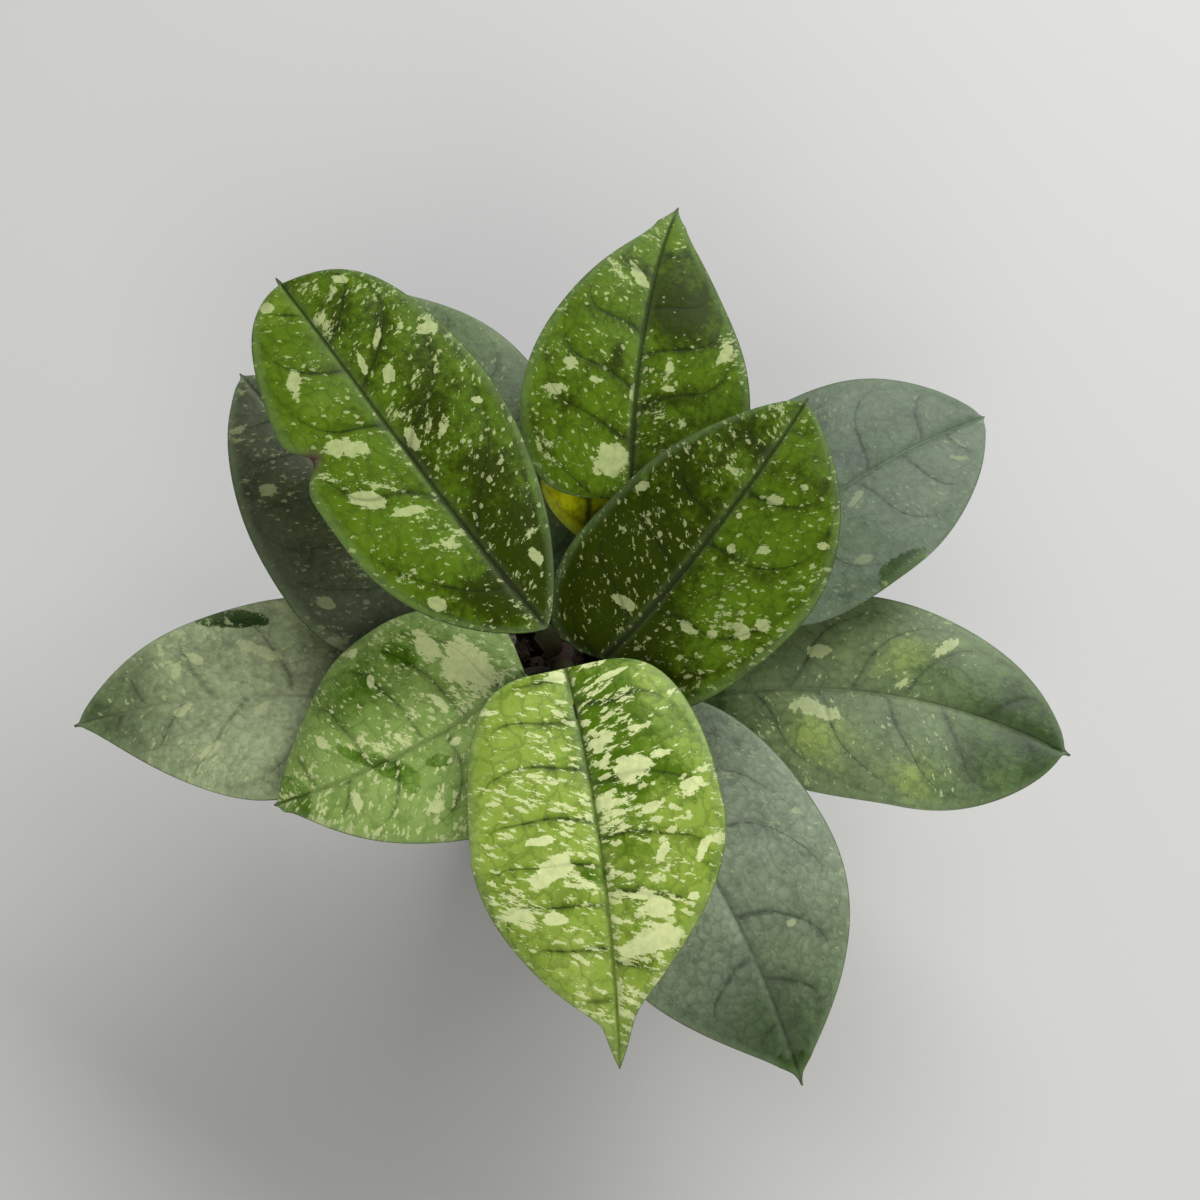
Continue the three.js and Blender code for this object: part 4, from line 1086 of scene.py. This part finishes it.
def barkMaterial():
    material, tree, shader = newMaterial("barkChips")
    info = tree.nodes.new("ShaderNodeNewGeometry")
    place, island = info.outputs["Position"], info.outputs["Random Per Island"]
    fibre = cloudNoise(tree, place, mixSettings["fibresPerMetre"], 5, 0.65, 0.6)
    tint = scaled(tree, island, 0.8, times(tree, fibre, 0.3), clampIt=True)
    wood = blendColours(tree, tint, mixSettings["dark"], mixSettings["brown"])
    wood = blendColours(tree, fade(tree, fibre, 0.55, 0.7, 0, 0.4), wood, mixSettings["fibre"])
    finishShader(tree, shader, wood, mixSettings["chipRoughness"], fibre, *mixSettings["chipBump"])
    return material


def crumbMaterial():
    material, tree, shader = newMaterial("mixCrumbs")
    crumb = cloudNoise(tree, surfacePlace(tree), mixSettings["crumbsPerMetre"], 6, 0.7)
    colour = blendColours(tree, crumb, mixSettings["crumbDark"], mixSettings["crumbBrown"])
    finishShader(tree, shader, colour, mixSettings["crumbRoughness"], crumb, *mixSettings["crumbBump"])
    return material


def lumpMaterial():
    material, tree, shader = newMaterial("perliteLumps")
    pores = cloudNoise(tree, surfacePlace(tree), mixSettings["poresPerMetre"], 4, 0.6)
    colour = blendColours(tree, fade(tree, pores, 0.35, 0.6), mixSettings["pore"], mixSettings["pale"])
    finishShader(tree, shader, colour, mixSettings["lumpRoughness"], pores, *mixSettings["lumpBump"])
    return material


def mixHeight(distance):
    return mixSettings["level"] + mixSettings["crown"] * (1 - (distance / mixSettings["radius"]) ** 2)


def mixBody():
    rings, around = mixSettings["rings"], mixSettings["around"]
    bump, bumpSize = mixSettings["bumps"]
    grit, gritSize = mixSettings["grit"]
    points = []
    for i in range(rings):
        share = i / (rings - 1)
        height = mixSettings["level"] + mixSettings["crown"] * (1 - share ** 2)
        for j in range(around):
            angle = j / around * fullTurn
            x = math.cos(angle) * mixSettings["radius"] * share
            y = math.sin(angle) * mixSettings["radius"] * share
            rough = (noise.noise(Vector((x, y, 0)) / bumpSize) * bump
                     + noise.noise(Vector((x, y, 9)) / gritSize) * grit)
            points.append((x, y, height + rough - mixSettings["sink"]))
    faces = gridFaces(rings, around, 0, closed=True, flip=True)
    wall, last = len(points), (rings - 1) * around
    points.extend(map(tuple, ringPoints(mixSettings["floorRadius"], mixSettings["floor"], around)))
    for j in range(around):
        k = (j + 1) % around
        faces.append((last + j, wall + j, wall + k, last + k))
    faces.append(tuple(wall + j for j in reversed(range(around))))
    return points, faces


def addChip(chance, points, faces):
    rim = mixSettings["radius"]
    distance = math.sqrt(chance.random()) * (rim - mixSettings["chipMargin"])
    angle = chance.random() * fullTurn
    long = chance.uniform(*mixSettings["chipLength"])
    broad = long * chance.uniform(*mixSettings["chipBreadth"])
    deep = long * chance.uniform(*mixSettings["chipDepth"])
    if distance + long / 2 > rim - 0.3:
        distance = rim - 0.4 - long / 2
    tilts = [chance.uniform(*mixSettings["chipTilt"]) for _ in range(2)]
    spin = Euler((*tilts, chance.uniform(*mixSettings["chipTurn"]))).to_matrix()
    height = mixHeight(distance) - chance.uniform(*mixSettings["chipSink"])
    centre = Vector((math.cos(angle) * distance, math.sin(angle) * distance, height))
    start = len(points)
    for corner in chipCorners:
        worn = [c * (1 + chance.uniform(*mixSettings["chipWear"])) / 2 for c in corner]
        points.append(tuple(centre + spin @ Vector((worn[0] * long, worn[1] * broad, worn[2] * deep))))
    faces.extend(tuple(start + k for k in side) for side in chipSides)


def addLump(chance, points, faces):
    distance = math.sqrt(chance.random()) * (mixSettings["radius"] - mixSettings["lumpMargin"])
    angle = chance.random() * fullTurn
    size = chance.uniform(*mixSettings["lumpSize"])
    height = mixHeight(distance) + mixSettings["lumpRise"]
    centre = Vector((math.cos(angle) * distance, math.sin(angle) * distance, height))
    start = len(points)
    bands, turns = mixSettings["lumpBands"], mixSettings["lumpTurns"]
    amount, scale = mixSettings["lumpBulge"]
    for i in range(bands + 1):
        lift = math.cos(i / bands * math.pi)
        ring = math.sin(i / bands * math.pi) + 0.02  # the poles stay open rings, which caps close
        for j in range(turns):
            spin = j / turns * fullTurn
            point = Vector((math.cos(spin) * ring, math.sin(spin) * ring, lift))
            bulge = 1 + amount * noise.noise(point * scale + centre)
            points.append(tuple(centre + point * size * bulge))
    faces.extend(gridFaces(bands + 1, turns, start, closed=True, flip=True))
    faces.append(tuple(start + j for j in range(turns)))
    faces.append(tuple(start + bands * turns + j for j in reversed(range(turns))))


def buildMix():
    chance = random.Random(mixSettings["seed"])
    points, faces = mixBody()
    which = [0] * len(faces)
    for _ in range(mixSettings["chips"]):
        addChip(chance, points, faces)
    which += [1] * (len(faces) - len(which))
    for _ in range(mixSettings["lumps"]):
        addLump(chance, points, faces)
    which += [2] * (len(faces) - len(which))
    meshPiece("potting_mix_bark", points, faces, [crumbMaterial(), barkMaterial(), lumpMaterial()],
              "potting_mix", smooth=False, faceMaterial=which)


buildMix()
print("potting mix built")


# pot

potSettings = {
    "height": 74, "baseRadius": 29, "topRadius": 40, "wall": 1.2, "floor": 1.8,
    "collar": 11, "collarStep": 1.3, "lip": 1.3, "lipHeight": 1.2, "lipSteps": 8, "segments": 144,
    "holeRadius": 3.2, "holeRing": 19, "holes": 6, "holeSides": 32, "holeReach": (-3.0, 5.0),
    "smoothAngle": 40,
    "plastic": (0.0125, 0.0120, 0.0115, 1), "scuff": (0.045, 0.042, 0.038, 1),
    "grainPerMetre": 2600, "dustPerMetre": 60, "rubsPerMetre": (90, 900),
    "dustShare": 0.5, "rubShare": 0.55, "footShare": 0.5, "footHeight": 0.008,  # in metres
    "roughness": (0.3, 0.42), "bumpDepth": 0.0002, "bumpStrength": 0.6,
}


def plasticMaterial():
    material, tree, shader = newMaterial("potPlastic")
    own, place = potSettings, surfacePlace(tree)
    grain = cloudNoise(tree, place, own["grainPerMetre"], 2, 0.5)
    cloud = cloudNoise(tree, place, own["dustPerMetre"], 4, 0.6)
    rub = streakNoise(tree, *own["rubsPerMetre"], 4, 0.7)
    foot = fade(tree, splitParts(tree, place)[2], 0.0, own["footHeight"], own["footShare"], 0.0)
    dust = times(tree, fade(tree, cloud, 0.45, 0.75), own["dustShare"])
    dust = larger(tree, dust, fade(tree, rub, 0.62, 0.72, 0.0, own["rubShare"]))
    dust = larger(tree, dust, foot)
    colour = blendColours(tree, dust, own["plastic"], own["scuff"])
    height = scaled(tree, rub, 0.3, times(tree, grain, 0.5))
    finishShader(tree, shader, colour, scaled(tree, dust, *own["roughness"]), height,
                 own["bumpDepth"], own["bumpStrength"])
    return material


# the pot's section as radius and height, from the middle of the underside over the lip to the inside
def potProfile():
    height, wall, lip, floor = (potSettings[label] for label in ("height", "wall", "lip", "floor"))
    base, step, lipHeight = (potSettings[label] for label in ("baseRadius", "collarStep", "lipHeight"))
    slope = (potSettings["topRadius"] - base) / height
    outer = lambda z: base + slope * z
    low = height - potSettings["collar"]
    top = outer(height) + step
    profile = [(0.01, 0), (base - 1.2, 0), (base - 0.4, 0.25)]
    profile += [(outer(z), z) for z in (0.9, 1.6, low * 0.33, low * 0.66, low - 0.3)]
    profile += [(outer(low) + 0.25, low), (outer(low) + step * 0.8, low + 0.7),
                (outer(low) + step, low + 1.4), (outer(height - 2.8) + step, height - 2.8)]
    for k in range(potSettings["lipSteps"] + 1):  # rolled lip
        angle = -0.5 * math.pi + k / potSettings["lipSteps"] * math.pi
        profile.append((top + lip * 0.15 + lip * 0.85 * math.cos(angle),
                        height - lipHeight + lipHeight * math.sin(angle)))
    profile += [(top - wall + 0.3, height), (top - wall, height - 0.3), (top - wall - 0.1, height - 1.2),
                (outer(low + 2.4) - wall + 0.2, low + 2.4)]
    profile += [(outer(z) - wall, z) for z in (low, low * 0.5, 3)]
    return profile + [(outer(floor) - wall - 0.8, floor), (0.01, floor)]


def drillHole(pot, angle):
    radius, sides = potSettings["holeRadius"], potSettings["holeSides"]
    x, y = math.cos(angle) * potSettings["holeRing"], math.sin(angle) * potSettings["holeRing"]
    cut = np.concatenate([ringPoints(radius, z, sides, x, y) for z in potSettings["holeReach"]])
    mesh = bpy.data.meshes.new("drainCut")
    mesh.from_pydata((cut * metre).tolist(), [], tubeFaces(2, sides))
    cutter = bpy.data.objects.new("drainCut", mesh)
    bpy.context.scene.collection.objects.link(cutter)
    modifier = pot.modifiers.new("drain", "BOOLEAN")
    modifier.object = cutter
    modifier.operation = "DIFFERENCE"
    modifier.solver = "EXACT"
    shaped = bpy.data.meshes.new_from_object(pot.evaluated_get(bpy.context.evaluated_depsgraph_get()))
    pot.modifiers.clear()
    pot.data = shaped
    bpy.data.objects.remove(cutter)


def buildPot():
    profile, segments = potProfile(), potSettings["segments"]
    points = np.concatenate([ringPoints(radius, z, segments) for radius, z in profile])
    faces = gridFaces(len(profile), segments, 0, closed=True)
    faces.append(tuple(reversed(range(segments))))
    faces.append(tuple((len(profile) - 1) * segments + j for j in range(segments)))
    pot = meshPiece("pot_plastic_shell", points, faces, [plasticMaterial()], "pot")
    for i in range(potSettings["holes"]):
        drillHole(pot, (i + 0.5) / potSettings["holes"] * fullTurn)
    bpy.context.view_layer.objects.active = pot
    pot.select_set(True)
    bpy.ops.object.shade_smooth_by_angle(angle=math.radians(potSettings["smoothAngle"]))
    pot.select_set(False)


buildPot()
print("pot built")


# camera, floor and light

viewSettings = {
    "target": (0.006, 0.014, 0.110), "distance": 0.560, "elevation": 65.0, "lens": 70.0, "sensor": 36,
    "nearest": 0.01, "floorReach": 6.0, "floorLevel": -0.0003, "floorRoughness": 0.9,
    "floorColour": (0.62, 0.61, 0.59, 1), "worldColour": (0.86, 0.90, 0.96, 1), "worldStrength": 0.2,
}
lightSettings = {
    "window": {"place": (0.64, 0.93, 1.05), "size": (1.5, 1.1), "power": 26, "colour": (0.97, 0.98, 1.0)},
    "fill": {"place": (0.10, -0.95, 0.95), "size": (0.8, 0.8), "power": 8, "colour": (1.0, 0.98, 0.95)},
}
lightAim = (0, 0, 0.11)


def placeCamera():
    data = bpy.data.cameras.new("camera")
    data.lens = viewSettings["lens"]
    data.sensor_width = viewSettings["sensor"]
    data.clip_start = viewSettings["nearest"]
    camera = bpy.data.objects.new("camera", data)
    bpy.context.scene.collection.objects.link(camera)
    rise = math.radians(viewSettings["elevation"])
    offset = Vector((0, -math.cos(rise), math.sin(rise))) * viewSettings["distance"]
    camera.location = Vector(viewSettings["target"]) + offset
    camera.rotation_euler = (-offset).to_track_quat("-Z", "Y").to_euler()
    bpy.context.scene.camera = camera


def areaLight(name, settings):
    data = bpy.data.lights.new(name, "AREA")
    data.shape = "RECTANGLE"
    data.size, data.size_y = settings["size"]
    data.energy = settings["power"]
    data.color = settings["colour"]
    light = bpy.data.objects.new(name, data)
    light.location = settings["place"]
    light.rotation_euler = (Vector(lightAim) - Vector(settings["place"])).to_track_quat("-Z", "Y").to_euler()
    bpy.context.scene.collection.objects.link(light)
    return light


def buildStage():
    material, tree, shader = newMaterial("studioFloor")
    shader.inputs["Base Color"].default_value = viewSettings["floorColour"]
    shader.inputs["Roughness"].default_value = viewSettings["floorRoughness"]
    mesh = bpy.data.meshes.new("studioFloor")
    reach, level = viewSettings["floorReach"], viewSettings["floorLevel"]
    corners = [(-reach, -reach, level), (reach, -reach, level), (reach, reach, level), (-reach, reach, level)]
    mesh.from_pydata(corners, [], [(0, 1, 2, 3)])
    mesh.materials.append(material)
    floor = bpy.data.objects.new("studioFloor", mesh)
    bpy.context.scene.collection.objects.link(floor)
    world = bpy.data.worlds.new("studio")
    bpy.context.scene.world = world
    world.use_nodes = True
    background = world.node_tree.nodes["Background"]
    background.inputs[0].default_value = viewSettings["worldColour"]
    background.inputs[1].default_value = viewSettings["worldStrength"]


placeCamera()
buildStage()
areaLight("window", lightSettings["window"])
softFill = areaLight("fill", lightSettings["fill"])
softFill.visible_glossy = False  # it lifts the shade without a second highlight
bpy.context.scene.view_settings.view_transform = "Standard"
print("stage ready")
